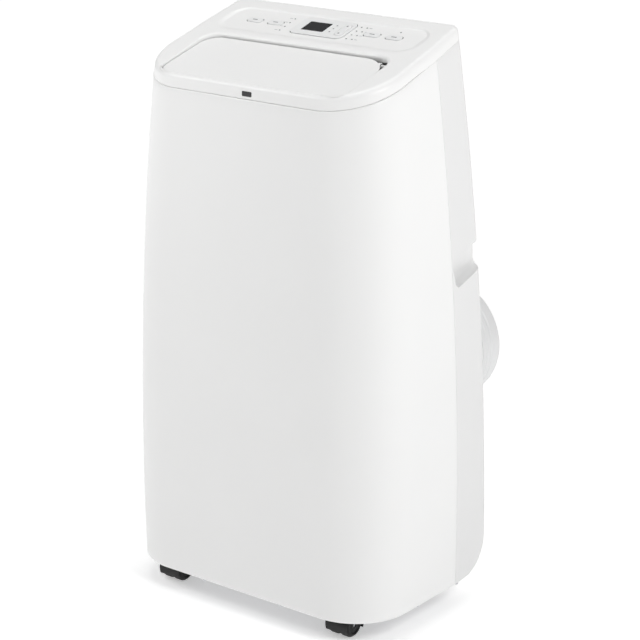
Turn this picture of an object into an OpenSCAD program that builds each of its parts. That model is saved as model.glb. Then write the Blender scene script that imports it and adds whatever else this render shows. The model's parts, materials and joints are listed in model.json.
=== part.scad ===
// Portable air conditioner on four casters.
// Frame: X is the width, +Y points to the rear, +Z is up and the floor is z = 0.
// The origin is under the middle of the bounding box. Millimetres.

/* [Body] */
// Height of the rear edge of the top above the floor
body_h = 700; // [640:5:860]
// Width of the body, measured at floor level
base_w = 378; // [370:2:460]
// Depth of the body at floor level, without the exhaust collar
base_d = 250; // [246:2:310]
// How far the front rim lies below the rear edge of the top
rim_drop = 60; // [45:1:72]
// Gap between the floor and the underside of the body
floor_gap = 28; // [27:0.5:34]
// Wall of the outer shells
wall = 2.5; // [1.8:0.1:3.2]
// Radius of the two vertical corners at the front
front_corner_r = 72; // [50:1:86]
// Radius of the two vertical corners at the rear
rear_corner_r = 14; // [6:1:20]
// Radius of the rounded foot at the bottom of the rear
foot_r = 45; // [30:1:54]

/* [Top] */
// Half of the louver flap's width
flap_half_w = 133; // [110:1:138]
// Depth of the louver flap along the slope
flap_d = 98; // [80:1:100]
// Gap between the flap and its opening
flap_gap = 1.5; // [0.8:0.1:2]
// Size of each push button along X
button_w = 22; // [16:1:24]
// Size of each push button along the slope
button_d = 10; // [8:0.5:14]
// Travel of a push button
button_travel = 1; // [0.4:0.1:1.2]

/* [Rear] */
// Outer radius of the exhaust collar that the hose fits over
collar_r = 72.5; // [60:0.5:73.5]
// How far the collar reaches behind the foot of the body
collar_reach = 34; // [26:1:60]
// Height of the collar's centre
collar_z = 299; // [290:1:310]
// Sideways place of the collar's centre
collar_x = 102; // [96:1:106]
// Width of the upper intake grille
upper_grille_w = 270; // [200:2:290]
// Width of the lower intake grille
lower_grille_w = 164; // [120:2:168]

/* [Casters] */
// Radius of a caster wheel
wheel_r = 15; // [12.5:0.5:15]
// Width of one caster wheel
wheel_w = 12; // [8:0.5:12]
// Distance from a caster's stem to its axle
trail = 9; // [6:0.5:10]
// Radius of a caster's stem
stem_r = 5; // [4:0.1:6]

/* [Air path] */
// Radius of both blower wheels
blower_r = 70; // [55:1:72]
// Width of both blower wheels
blower_w = 50; // [36:1:52]

/* [Hidden] */

// The outer surface
side_swell = 34;
side_draw = 58;
front_lean = 8;
front_bow = 6;
rear_lean = 42;
seam_y0 = 34;
seam_lean = 27;
split_drop = 14;
shell_lip = 8;
corner_steps = 12;
level_steps = 9;
fine = 48;

// Fits
slip = 0.3;
running = 0.05;
joint_gap = 0.4;

// Positions that follow from the sizes above
body_front = -(base_d + collar_reach) / 2;
rim_h = body_h - rim_drop;
rim_y = front_y(rim_h);
top_tilt = atan2(rim_drop, rear_y(body_h) - rim_y);
rear_tilt = atan2(rear_lean, body_h);
seam_tilt = atan2(seam_lean, body_h);
rear_end = body_front + base_d;
collar_end = rear_end + collar_reach;

// The exhaust and its duct
collar_wall = 3;
shoulder_gap = 0.2;
seat_r = collar_r + 2;
seat_out = rear_y(collar_z - seat_r) + 3;
duct_wall = 3;
duct_x0 = 47;
duct_x1 = collar_x + seat_r - 4;
duct_z0 = collar_z - collar_r - 1.5;
duct_z1 = collar_z + collar_r + 3.5;
duct_back = rear_y(duct_z1) - wall - 1;

// The partition between the two chambers
tray_z = duct_z1 + 3;

// Intake grilles and filters
grille_t = 2.6;
grille_band = 9;
filter_t = 3;
slot_h = 5;
slot_pitch = 9;
slot_post = 6;
upper_z0 = rim_h - 222;
upper_z1 = rim_h - 44;
lower_z0 = 92;
lower_z1 = 336;
lower_grille_x = -(half_width(lower_z0) - 22 - lower_grille_w / 2) + 4;

// Drains and cord gland
drain_r = 7;
lower_drain = [-40, 0, 80];
upper_drain = [-half_width(tray_z) + 34, 0, tray_z + 12];
gland_r = 9;
gland = [150, 0, 120];

// Base pan and casters
pan_wall = 2.5;
pan_gap = wall + joint_gap;
pan_floor = floor_gap + pan_gap;
pan_top = 56;
pocket_r = 34;
pocket_top = 34;
socket_h = 20;
caster_side = 59;
caster_front = 44;
caster_rear = 39;
foot_line = rear_end - foot_r;
caster_x = base_w / 2 - caster_side;
front_stem_y = body_front + caster_front;
rear_stem_y = foot_line - caster_rear;
stems = [[-caster_x, front_stem_y, -1], [caster_x, front_stem_y, -1],
         [-caster_x, rear_stem_y, 1], [caster_x, rear_stem_y, 1]];
web_t = 5;
wheel_gap = 0.4;
fender_gap = 0.8;
fender_t = 1.8;
axle_r = 2.5;
fender_r = wheel_r + fender_gap + fender_t;
fender_half = web_t / 2 + wheel_w + wheel_gap + 1;

// Screws that fix the shells to the base pan
screw_r = 1.5;
screw_inset = 5.3;
screw_spots = [for (side = [-1, 1]) each [
    [side * 60, front_y(floor_gap) + screw_inset],
    [side * (half_width(floor_gap) - screw_inset), body_front + 102],
    [side * (half_width(floor_gap) - screw_inset), foot_line - 22],
    [side * 60, foot_line - screw_inset]]];

// Grip recesses: a slanted pocket on each side that runs out through the rear face
grip_z = 421;
grip_h = 34;
grip_depth = 16;
grip_tilt = 16;

// Control deck on the sloped top: lengths run up the slope from the front rim
top_wall = 3;
flap_front = 8;
flap_t = 2.5;
flap_sink = 3.5;
arm_x = flap_half_w - 14.5;
arm_w = 5;
knuckle_r = 4;
hinge_s = flap_front + flap_d - 6;
hinge_drop = 9;
hinge_pin_r = 2.5;
bracket_x = flap_half_w + 5;
bracket_t = 3;
opening_s1 = flap_front + flap_d + 3;
deck_s0 = opening_s1 + 10;
deck_s1 = deck_s0 + 63;
deck_half_w = 146;
deck_depth = 1.6;
panel_s = (deck_s0 + deck_s1) / 2 + 5;
bezel_half_w = 38;
bezel_half_d = 20.5;
bezel_t = 1.2;
window_x = -10;
window_w = 32;
window_d = 22;
rocker_x = 28.5;
rocker_w = 9.6;
rocker_d = 27.6;
rocker_pin_r = 1;
rocker_drop = 3.8;
button_corner_r = 3.7;
button_sink = 0.8;
button_root = 5.4;
flange_t = 0.8;
flange_edge = 1.5;
board_gap = 1.2;
board_t = 1.6;
board_drop = button_root + button_travel + board_gap;
button_spots = [[-101, panel_s - 2], [-70, panel_s - 2], [70, panel_s], [101, panel_s]];
light_r = 1.1;
light_spots = concat(
    [for (row = [0:3]) [-52, panel_s + 13 - 10.3 * row]],
    [for (row = [0:3], column = [0:1]) [45 + 8 * column, panel_s + 14 - 10.2 * row]],
    [[101, panel_s + 14]],
    [for (row = [-1:1]) [14.5, panel_s + 8 * row]]);
slit_s0 = 33;
slit_s1 = 109;
slit_h = 1.3;
ir_x = 7;
ir_z = rim_h - 8.5;
ir_w = 14;
ir_h = 6;

// Blowers: both share one scroll shape, a spiral that opens upwards on its right
evaporator_d = 24;
condenser_d = 24;
scroll_r0 = blower_r + 10;
scroll_r1 = blower_r + 36;
cutoff_angle = 50;
scroll_wall = 2;
throat_x0 = scroll_r0 * cos(cutoff_angle);
throat_x1 = scroll_r1;
throat_top = rim_h - 80;
lower_fan = [0, 0, 155];
upper_fan = [-(throat_x0 + throat_x1) / 2, 0, rim_h - 155];
scroll_back = rear_y(lower_z1) - wall - grille_t - filter_t - condenser_d - 6;
upper_back = rear_y(upper_z1) - wall - grille_t - filter_t - evaporator_d - 6;
shaft_r = 4;
blade_count = 24;
motor_r = 40;
motor_l = 52;

// Coils
coil_half = 150;
coil_top = rim_h - 20;
condenser_x0 = -half_width(lower_z0) + 22;
condenser_x1 = 24;

// Air outlet and vanes
vane_count = 5;
outlet_half = flap_half_w - 9;
outlet_y0 = rim_y + 22;
outlet_y1 = rim_y + 100;
outlet_wall = 2;
flare_z = rim_h - 40;
vane_pivot_z = rim_h - 32;
vane_pitch = outlet_half * 11 / 31;
vane_pin_r = 1.2;
vane_h = 16;
link_drop = 8;
link_y = (outlet_y0 + outlet_y1) / 2;

// Compressor and pipes
compressor_r = 55;
compressor_h = 205;
compressor_z = 70;
compressor_x = -(base_w / 2 - 74);
compressor_y = body_front + 74;
accumulator_r = 22;
accumulator_x = -40;
accumulator_y = 70;
grommet_angles = [30, 150, 270];
plate_z = compressor_z - 4;
pipe_r = 4;
discharge_z = compressor_z + compressor_h + 10;
discharge_x = condenser_x0 - 2;
discharge_y = scroll_back + 3 + condenser_d / 2;
suction_z = compressor_z + 180;
suction_x = -coil_half - 6;
suction_y = upper_back + 3 + evaporator_d / 2;

// Electrical box in the upper chamber
box_place = [60, rim_y + 34, rim_h - 240];
box_size = [84, 78, 130];

// Colours
shell_white = [0.93, 0.93, 0.92];
trim_grey = [0.80, 0.81, 0.82];
inner_grey = [0.55, 0.56, 0.58];
foam_white = [0.90, 0.91, 0.93];
deep_black = [0.06, 0.06, 0.07];
metal_grey = [0.70, 0.71, 0.73];
copper_tone = [0.72, 0.43, 0.26];

function level(z) = z / body_h;
function half_width(z) = base_w / 2 + side_swell * level(z) - side_draw * pow(level(z), 2);
function front_y(z) = body_front + front_lean * level(z) + front_bow * pow(level(z), 2);
function foot_cut(z, inset) =
    let (r = foot_r - inset, up = floor_gap + foot_r - z)
    up <= 0 ? 0 : r - sqrt(max(r * r - up * up, 0));
function rear_y(z, inset = 0) =
    body_front + base_d - rear_lean * level(z) - inset - foot_cut(z, inset);

function arc(cx, cy, r, from, steps) =
    [for (i = [0:steps]) [cx + r * cos(from + 90 * i / steps), cy + r * sin(from + 90 * i / steps)]];

// Outline of the body at one height, moved inwards by inset
function outline(z, inset) =
    let (a = half_width(z) - inset,
         f = front_y(z) + inset,
         b = rear_y(z, inset),
         rf = front_corner_r - inset,
         rr = max(rear_corner_r - inset, 2))
    concat(arc(a - rf, f + rf, rf, -90, corner_steps), arc(a - rr, b - rr, rr, 0, 4),
           arc(-a + rr, b - rr, rr, 90, 4), arc(-a + rf, f + rf, rf, 180, corner_steps));

// Rectangle with two radii, centred on X
function plate_points(half_w, y_low, y_high, r_low, r_high, steps = 8) =
    concat(arc(half_w - r_low, y_low + r_low, r_low, -90, steps),
           arc(half_w - r_high, y_high - r_high, r_high, 0, steps),
           arc(-half_w + r_high, y_high - r_high, r_high, 90, steps),
           arc(-half_w + r_low, y_low + r_low, r_low, 180, steps));

// Closed solid through a stack of rings with equal point counts
module loft(rings) {
    n = len(rings[0]);
    last = len(rings) - 1;
    walls = [for (j = [0:last - 1], i = [0:n - 1])
        let (a = j * n + i, b = a + n, c = (j + 1) * n + (i + 1) % n, d = c - n)
        each [[a, b, c], [a, c, d]]];
    low_cap = [for (i = [0:n - 1]) i];
    high_cap = [for (i = [0:n - 1]) last * n + n - 1 - i];
    polyhedron(points = [for (ring = rings) each ring], faces = concat(walls, [low_cap, high_cap]));
}

// The body's solid, moved inwards by inset, from its floor up to z_high
module body_solid(inset, z_high, bottom = undef) {
    z_low = is_undef(bottom) ? floor_gap + inset : bottom;
    r = foot_r - inset;
    z_foot = floor_gap + foot_r;
    foot_levels = z_low < z_foot ? [for (k = [0:6]) z_foot - r * cos(15 * k)] : [z_low];
    first = foot_levels[len(foot_levels) - 1];
    upper_levels = [for (i = [1:level_steps]) first + (z_high - first) * i / level_steps];
    loft([for (z = concat(foot_levels, upper_levels)) [for (p = outline(z, inset)) [p.x, p.y, z]]]);
}

// Places children on the sloped top: origin at the front rim, local Y up the slope
module on_top() {
    translate([0, rim_y, rim_h]) rotate([top_tilt, 0, 0]) children();
}

// Places children on the rear face: local +Y points out of it, local Z runs up it
module on_rear() {
    translate([0, rear_end, 0]) rotate([rear_tilt, 0, 0]) children();
}

// Everything that lies deeper than drop under the top plane
module below_top(drop) {
    reach = 2 * body_h;
    on_top() translate([-reach / 2, -reach / 2, -reach - drop]) cube([reach, 2 * reach, reach]);
}

// Everything in front of the seam between the front shell and the rear cover
module before_seam() {
    reach = 2 * body_h;
    translate([0, seam_y0, 0]) rotate([seam_tilt, 0, 0])
        translate([-reach / 2, -reach, -reach / 4]) cube([reach, reach, reach]);
}

module bore_x(r, length) {
    rotate([0, 90, 0]) cylinder(r = r, h = length, center = true, $fn = fine);
}

module bore_y(r, length) {
    rotate([-90, 0, 0]) cylinder(r = r, h = length, $fn = fine);
}

// Outer shell with a return lip round its open underside
module open_shell() {
    difference() {
        body_solid(0, body_h + 4);
        body_solid(wall, body_h + 8);
        translate([0, 0, floor_gap - 1]) linear_extrude(wall + 2) polygon(outline(floor_gap, shell_lip));
        screw_places() translate([0, 0, -1]) cylinder(r = screw_r + 0.1, h = wall + 2, $fn = fine);
    }
}

module screw_places() {
    for (spot = screw_spots) translate([spot.x, spot.y, floor_gap]) children();
}

module shell_screws() color(metal_grey) screw_places() {
    cylinder(r = screw_r, h = wall + pan_wall + 2, $fn = fine);
    translate([0, 0, -1.6]) cylinder(r = 3.2, h = 1.6, $fn = fine);
}

module front_shell() color(shell_white) {
    intersection() {
        open_shell();
        below_top(split_drop);
        before_seam();
    }
}

// Slanted pocket on each side that runs out through the rear face
module grip_pocket(grow) {
    side_x = half_width(grip_z);
    seam_here = seam_y0 - seam_lean * level(grip_z);
    for (side = [-1, 1]) {
        translate([side * (side_x - grip_depth / 2 + 12 - grow / 2), seam_here + 4 - grow, grip_z - 4])
            rotate([grip_tilt, 0, 0])
                translate([0, rear_end / 2, 0])
                    cube([grip_depth + 24 + grow, rear_end, grip_h + 2 * grow], center = true);
    }
}

// Rectangular hole through the rear wall
module rear_hole(half_w, z_low, z_high, thick = 8) {
    on_rear() translate([-half_w, -thick, z_low]) cube([2 * half_w, thick + 2, z_high - z_low]);
}

module rear_cover() color(shell_white) {
    difference() {
        intersection() {
            open_shell();
            below_top(split_drop);
        }
        before_seam();
        grip_pocket(0);
        translate([collar_x, rear_end - 40, collar_z]) bore_y(seat_r, 80);
        rear_hole(upper_grille_w / 2 + slip, upper_z0 - slip, upper_z1 + slip);
        translate([lower_grille_x, 0, 0])
            rear_hole(lower_grille_w / 2 + slip, lower_z0 - slip, lower_z1 + slip);
        translate([lower_drain.x, rear_end - 30, lower_drain.z]) bore_y(drain_r + slip, 60);
        translate([upper_drain.x, rear_end - 60, upper_drain.z]) bore_y(drain_r + slip, 90);
        translate([gland.x, rear_end - 30, gland.z]) bore_y(gland_r + running, 60);
    }
    collar_seat();
}

// Ring on the rear cover that the exhaust collar twists into
module collar_seat() translate([collar_x, 0, collar_z]) difference() {
    translate([0, rear_end - 60, 0]) bore_y(seat_r + 4, 60 + seat_out - rear_end);
    bore_y(seat_r, collar_end);
    translate([-collar_x, -wall / 2, -collar_z]) on_rear()
        translate([-base_w, -base_d, 0]) cube([2 * base_w, base_d, body_h]);
}

// Moulded cups behind the two grip holes, closed inside and open to the rear
module grip_cups() color(shell_white) difference() {
    intersection() {
        body_solid(wall + slip, body_h + 4, grip_z - 60);
        grip_pocket(wall);
        below_top(split_drop);
    }
    grip_pocket(0);
    before_seam();
}

// Top with the flap's opening, the sunk control deck and the flap's two hinge brackets
module top_cover() color(shell_white) {
    difference() {
        union() {
            difference() {
                intersection() {
                    body_solid(0, body_h + 4, rim_h - 40);
                    below_top(0);
                }
                below_top(split_drop);
                intersection() {
                    body_solid(wall, body_h + 8, rim_h - 50);
                    below_top(top_wall);
                }
            }
            on_top() for (side = [-1, 1])
                translate([side * (bracket_x + bracket_t / 2), hinge_s, -hinge_drop / 2 - 3.5])
                    cube([bracket_t, 12, hinge_drop + 3], center = true);
        }
        on_top() {
            translate([0, 0, -top_wall - 1]) linear_extrude(top_wall + 3)
                polygon(plate_points(flap_half_w + flap_gap, flap_front - flap_gap, opening_s1, 17, 22));
            translate([0, 0, -deck_depth]) linear_extrude(deck_depth + 2)
                polygon(plate_points(deck_half_w, deck_s0, deck_s1, 26, 26));
            translate([0, hinge_s, -hinge_drop]) bore_x(hinge_pin_r + running, 2 * bracket_x + 20);
            translate([window_x, panel_s, -3]) cube([window_w - 4, window_d - 4, 12], center = true);
            translate([rocker_x, panel_s, -3]) cube([rocker_w + 8, rocker_d + 4, 12], center = true);
            for (spot = button_spots) translate([spot.x, spot.y, -top_wall - 1])
                linear_extrude(top_wall + 3) button_shape(slip);
            for (spot = light_spots) translate([spot.x, spot.y, -top_wall - 1])
                cylinder(r = light_r + running, h = top_wall + 3, $fn = 24);
            for (side = [-1, 1]) translate([side * half_width(rim_h), (slit_s0 + slit_s1) / 2, -split_drop])
                cube([12, slit_s1 - slit_s0, 2 * slit_h], center = true);
        }
        translate([ir_x - ir_w / 2, rim_y - 5, ir_z - ir_h / 2]) cube([ir_w, 12, ir_h]);
    }
}

module ir_window() color(deep_black) {
    intersection() {
        body_solid(0, rim_h, rim_h - 20);
        translate([ir_x - ir_w / 2, rim_y - 5, ir_z - ir_h / 2]) cube([ir_w, 5 + wall, ir_h]);
    }
}

module louver_flap() color(shell_white) on_top() {
    translate([0, 0, -flap_sink - flap_t]) linear_extrude(flap_t)
        polygon(plate_points(flap_half_w, flap_front, flap_front + flap_d, 16, 36));
    for (side = [-1, 1]) translate([side * arm_x, hinge_s, 0]) {
        translate([0, 0, -hinge_drop]) bore_x(knuckle_r, arm_w);
        translate([0, -1, -7]) cube([arm_w, 8, 4], center = true);
    }
    hinge_pin(-1, bracket_x + bracket_t + 1);
    hinge_pin(1, bracket_x + bracket_t + 8);
}

// Pin from one hinge arm of the flap out to a given distance from the middle
module hinge_pin(side, reach) {
    translate([side * (arm_x + reach) / 2, hinge_s, -hinge_drop]) bore_x(hinge_pin_r, reach - arm_x);
}

module flap_motor() color(metal_grey) on_top() {
    motor_x = bracket_x + bracket_t + 0.5;
    difference() {
        translate([motor_x + 7, hinge_s, -hinge_drop - 4]) union() {
            translate([0, 0, -2]) bore_x(11, 14);
            translate([-5, 0, -3]) cube([2, 36, 8], center = true);
        }
        translate([motor_x, hinge_s, -hinge_drop]) bore_x(hinge_pin_r + running, 16);
    }
}

module display_bezel() color(trim_grey) on_top() translate([0, panel_s, -deck_depth]) {
    difference() {
        union() {
            linear_extrude(bezel_t) polygon(plate_points(bezel_half_w, -bezel_half_d, bezel_half_d, 8, 8));
            for (side = [-1, 1])
                translate([rocker_x + side * (rocker_w / 2 + 1.6), 0, -2])
                    cube([2, 5, 4.4], center = true);
        }
        translate([window_x, 0, 0]) cube([window_w, window_d, 8], center = true);
        translate([rocker_x, 0, 0]) linear_extrude(8, center = true)
            polygon(plate_points(rocker_w / 2 + slip, -rocker_d / 2 - slip, rocker_d / 2 + slip, 4.8, 4.8));
        translate([rocker_x, 0, deck_depth - rocker_drop]) bore_x(rocker_pin_r + running, 20);
        for (row = [-1:1]) translate([14.5, 8 * row, -2]) cylinder(r = light_r + running, h = 6, $fn = 24);
    }
}

module display_window() color(deep_black) on_top() translate([window_x, panel_s, -deck_depth])
    translate([0, 0, 0.4]) cube([window_w, window_d, 0.8], center = true);

module temp_rocker() color(trim_grey) on_top() translate([rocker_x, panel_s, 0]) {
    translate([0, 0, -4.6]) linear_extrude(4.8)
        polygon(plate_points(rocker_w / 2, -rocker_d / 2, rocker_d / 2, 4.5, 4.5));
    translate([0, 0, -rocker_drop]) bore_x(rocker_pin_r, rocker_w + 5);
}

// Outline of a push button, moved outwards by grow
module button_shape(grow) {
    half_w = button_w / 2 + grow;
    half_d = button_d / 2 + grow;
    polygon(plate_points(half_w, -half_d, half_d, button_corner_r + grow, button_corner_r + grow, 4));
}

module push_button(spot) color(trim_grey) on_top() translate([spot.x, spot.y, -button_root]) {
    linear_extrude(button_root - button_sink) button_shape(0);
    translate([0, 0, flange_t / 2])
        cube([button_w + 2 * flange_edge, button_d + 2 * flange_edge, flange_t], center = true);
}

// Lights inside the bezel reach its face; the others stand just proud of the deck
function light_proud(spot) = abs(spot.x) < bezel_half_w ? bezel_t : 0.1;

module indicator_lights() color([0.75, 0.80, 0.78]) on_top()
    for (spot = light_spots) translate([spot.x, spot.y, -board_drop])
        cylinder(r = light_r, h = board_drop - deck_depth + light_proud(spot), $fn = 24);

module control_board() color([0.15, 0.40, 0.25]) on_top() {
    translate([0, panel_s, -board_drop - board_t / 2]) cube([236, 46, board_t], center = true);
    translate([window_x, panel_s, -board_drop + 2.6]) cube([26, 16, 5.4], center = true);
    translate([-60, panel_s - 12, -board_drop - 5]) cube([40, 12, 7], center = true);
}

// Snap-in panel with rows of louver slots
module grille_panel(w, z_low, z_high, columns) {
    rows = floor((z_high - z_low - 2 * grille_band + slot_pitch - slot_h) / slot_pitch);
    row_start = (z_low + z_high - (rows - 1) * slot_pitch - slot_h) / 2;
    column_w = (w - 2 * grille_band - (columns - 1) * slot_post) / columns;
    on_rear() difference() {
        translate([-w / 2, -grille_t, z_low]) cube([w, grille_t, z_high - z_low]);
        for (row = [0:rows - 1], column = [0:columns - 1])
            translate([-w / 2 + grille_band + column * (column_w + slot_post), -grille_t - 1,
                       row_start + row * slot_pitch])
                cube([column_w, grille_t + 2, slot_h]);
    }
}

// Filter frame with a thin net, clipped behind its grille
module filter_frame(w, z_low, z_high) {
    inset = 5;
    bar = 5;
    wide = w - 2 * inset;
    tall = z_high - z_low - 2 * inset;
    on_rear() translate([-wide / 2, -grille_t - filter_t, z_low + inset]) {
        difference() {
            cube([wide, filter_t, tall]);
            for (column = [0:2], row = [0:1])
                translate([bar + column * (wide - bar) / 3, -1, bar + row * (tall - bar) / 2])
                    cube([(wide - bar) / 3 - bar, filter_t + 2, (tall - bar) / 2 - bar]);
        }
        translate([1, filter_t / 2 - 0.2, 1]) cube([wide - 2, 0.4, tall - 2]);
    }
}

module upper_grille() color(shell_white) grille_panel(upper_grille_w, upper_z0, upper_z1, 3);
module upper_filter() color(inner_grey) filter_frame(upper_grille_w, upper_z0, upper_z1);
module lower_grille() color(shell_white)
    translate([lower_grille_x, 0, 0]) grille_panel(lower_grille_w, lower_z0, lower_z1, 2);
module lower_filter() color(inner_grey)
    translate([lower_grille_x, 0, 0]) filter_frame(lower_grille_w, lower_z0, lower_z1);

module exhaust_collar() color(trim_grey) translate([collar_x, 0, collar_z]) difference() {
    union() {
        translate([0, seat_out - 10, 0]) bore_y(seat_r - shoulder_gap, 10);
        translate([0, seat_out + 0.2, 0]) bore_y(seat_r + 4, 3);
        translate([0, seat_out, 0]) bore_y(collar_r, collar_end - seat_out);
    }
    bore_y(collar_r - collar_wall, collar_end + 1);
}

module exhaust_duct() color(foam_white) difference() {
    y0 = scroll_back - scroll_depth(blower_w);
    outside = [duct_x1 - duct_x0, duct_back - y0, duct_z1 - duct_z0];
    translate([duct_x0, y0, duct_z0]) cube(outside);
    translate([duct_x0 + duct_wall, y0 + duct_wall, duct_z0 + duct_wall])
        cube(outside - 2 * duct_wall * [1, 1, 1]);
    translate([collar_x, duct_back - 10, collar_z]) bore_y(collar_r - collar_wall - 2, 20);
    translate([throat_x0 + 2, y0 + 2, duct_z0 - 1])
        cube([throat_x1 - throat_x0 - 4, scroll_depth(blower_w) - 4, duct_wall + 2]);
}

function scroll_depth(w) = w + 14;
function spiral(grow, first) =
    [for (a = concat([first], [for (k = [cutoff_angle + 10:10:360]) k]))
        let (r = scroll_r0 + (scroll_r1 - scroll_r0) * (a - cutoff_angle) / (360 - cutoff_angle) + grow)
        [r * cos(a), r * sin(a)]];

module scroll_housing(place, back, throat_z, shroud) {
    depth = scroll_depth(blower_w);
    throat_h = throat_z - place.z;
    inner = concat(spiral(0, cutoff_angle), [[throat_x1, throat_h + 1], [throat_x0, throat_h + 1]]);
    outer = concat(spiral(scroll_wall, cutoff_angle + 4),
                   [[throat_x1 + scroll_wall, throat_h], [throat_x0 - scroll_wall, throat_h]]);
    translate([place.x, back, place.z]) rotate([90, 0, 0]) difference() {
        union() {
            linear_extrude(depth) polygon(outer);
            translate([shroud[0] - place.x, shroud[2] - place.z, 0])
                cube([shroud[1] - shroud[0], shroud[3] - shroud[2], scroll_wall]);
        }
        translate([0, 0, scroll_wall]) linear_extrude(depth - 2 * scroll_wall) polygon(inner);
        translate([0, 0, -1]) cylinder(r = blower_r - 10, h = scroll_wall + 2, $fn = fine);
        translate([0, 0, depth - scroll_wall - 1]) cylinder(r = 12, h = scroll_wall + 2, $fn = fine);
    }
}

// Squirrel-cage wheel with its shaft; the shaft runs forward into the motor
module blower_wheel(place, back) color(inner_grey) {
    depth = scroll_depth(blower_w);
    rear_gap = (depth - blower_w) / 2;
    translate([place.x, back - rear_gap, place.z]) rotate([90, 0, 0]) {
        difference() {
            cylinder(r = blower_r, h = 3, $fn = fine);
            translate([0, 0, -1]) cylinder(r = blower_r - 9, h = 5, $fn = fine);
        }
        translate([0, 0, blower_w - 2]) cylinder(r = blower_r, h = 2, $fn = fine);
        for (k = [0:blade_count - 1]) rotate([0, 0, 360 * k / blade_count])
            translate([blower_r - 8.5, 0, 1]) rotate([0, 0, 35]) cube([8, 1.4, blower_w - 2]);
        translate([0, 0, blower_w - 16]) cylinder(r = 11, h = 16, $fn = fine);
        translate([0, 0, blower_w - 4]) cylinder(r = shaft_r, h = rear_gap + 34, $fn = fine);
    }
}

module fan_motor(place, back) color(metal_grey) {
    front = back - scroll_depth(blower_w);
    translate([place.x, front, place.z]) rotate([90, 0, 0]) difference() {
        union() {
            cylinder(r = motor_r, h = motor_l, $fn = fine);
            cylinder(r = motor_r + 8, h = 3, $fn = fine);
            translate([0, 0, motor_l]) cylinder(r = 14, h = 4, $fn = fine);
        }
        translate([0, 0, -1]) cylinder(r = shaft_r + running, h = 34, $fn = fine);
    }
}

module evaporator_scroll() color(foam_white)
    scroll_housing(upper_fan, upper_back, throat_top, [-coil_half, coil_half, tray_z + 8, coil_top]);
module evaporator_blower() blower_wheel(upper_fan, upper_back);
module evaporator_motor() fan_motor(upper_fan, upper_back);
module condenser_scroll() color(foam_white)
    scroll_housing(lower_fan, scroll_back, duct_z0, [condenser_x0, condenser_x1, 58, duct_z0 - 2]);
module condenser_blower() blower_wheel(lower_fan, scroll_back);
module condenser_motor() fan_motor(lower_fan, scroll_back);

// Finned core between two end plates, with return bends on the left side
module coil(x0, x1, y_back, depth, z0, z1) {
    bend_pitch = 22;
    bends = floor((z1 - z0 - 16) / bend_pitch);
    color([0.78, 0.80, 0.83]) {
        translate([x0 + 12, y_back - depth, z0]) cube([x1 - x0 - 14, depth, z1 - z0]);
        for (x = [x0 + 10, x1 - 2]) translate([x, y_back - depth - 2, z0 - 2])
            cube([2, depth + 4, z1 - z0 + 4]);
        for (k = [0:bends - 1])
            translate([x0 + 10.5, y_back - depth / 2, z0 + 14 + bend_pitch * k])
                rotate([90, 0, 0]) rotate([0, 0, 90])
                rotate_extrude(angle = 180, $fn = fine) translate([5.5, 0]) circle(r = 3, $fn = 24);
    }
}

module evaporator_coil()
    coil(-coil_half, coil_half, upper_back + evaporator_d + 3, evaporator_d, tray_z + 10, coil_top);
module condenser_coil()
    coil(condenser_x0, condenser_x1, scroll_back + condenser_d + 3, condenser_d, 62, lower_z1 + 12);

// Partition between the two chambers, with an upstand that makes it a drip tray
module partition_tray() color(foam_white) difference() {
    translate([0, 0, tray_z]) linear_extrude(12) polygon(outline(tray_z, wall + 1.2));
    translate([0, 0, tray_z + 3]) linear_extrude(12) polygon(outline(tray_z, wall + 3.7));
    translate([suction_x, suction_y, tray_z - 1]) cylinder(r = pipe_r + 2, h = 6, $fn = fine);
    translate([upper_drain.x, rear_y(tray_z), tray_z + 13]) cube([2 * drain_r + 3, 40, 20], center = true);
}

// Plain outline of the base pan, which clears both shells from its floor up to its rim
module pan_outline(inset) {
    half_w = half_width(floor_gap) - inset;
    polygon(plate_points(half_w, front_y(pan_top) + inset, rear_y(pan_floor, pan_gap) + pan_gap - inset,
                         front_corner_r - inset, rear_corner_r, corner_steps));
}

// Base pan with caster pockets
module base_pan() color(inner_grey) {
    difference() {
        union() {
            translate([0, 0, pan_floor]) difference() {
                linear_extrude(pan_top - pan_floor) pan_outline(pan_gap);
                translate([0, 0, pan_wall]) linear_extrude(pan_top) pan_outline(pan_gap + pan_wall);
            }
            for (stem = stems) translate([stem.x, stem.y, pan_floor]) {
                cylinder(r = pocket_r + pan_wall, h = pocket_top + pan_wall - pan_floor, $fn = fine);
                cylinder(r = stem_r + 4, h = pocket_top + socket_h + 3 - pan_floor, $fn = fine);
            }
        }
        for (stem = stems) translate([stem.x, stem.y, 0]) {
            cylinder(r = pocket_r, h = pocket_top, $fn = fine);
            cylinder(r = stem_r + running, h = pocket_top + socket_h, $fn = fine);
        }
        screw_places() cylinder(r = screw_r, h = 12, $fn = fine);
    }
}

// Twin-wheel caster: the fender arches over both wheels and a web carries the axle
module caster_body(stem) color(deep_black) translate([stem.x, stem.y, 0]) difference() {
    axle_y = stem.z * trail;
    union() {
        difference() {
            translate([0, axle_y, wheel_r]) bore_x(fender_r, 2 * fender_half);
            translate([0, axle_y, wheel_r]) bore_x(wheel_r + fender_gap, 2 * fender_half + 2);
        }
        translate([0, axle_y, wheel_r]) bore_x(wheel_r + fender_gap + 0.5, web_t);
        translate([0, 0, wheel_r]) cylinder(r = stem_r, h = pocket_top + socket_h - 1 - wheel_r, $fn = fine);
    }
    translate([0, axle_y, wheel_r]) bore_x(axle_r + running, 2 * web_t);
    translate([-60, -60, -40]) cube([120, 120, 40 + wheel_r * 0.45]);
    for (side = [-1, 1]) translate([side * (web_t / 2 + wheel_gap / 2 + wheel_w / 2 + 0.2), axle_y, wheel_r])
        bore_x(wheel_r + fender_gap, wheel_w + wheel_gap);
}

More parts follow.
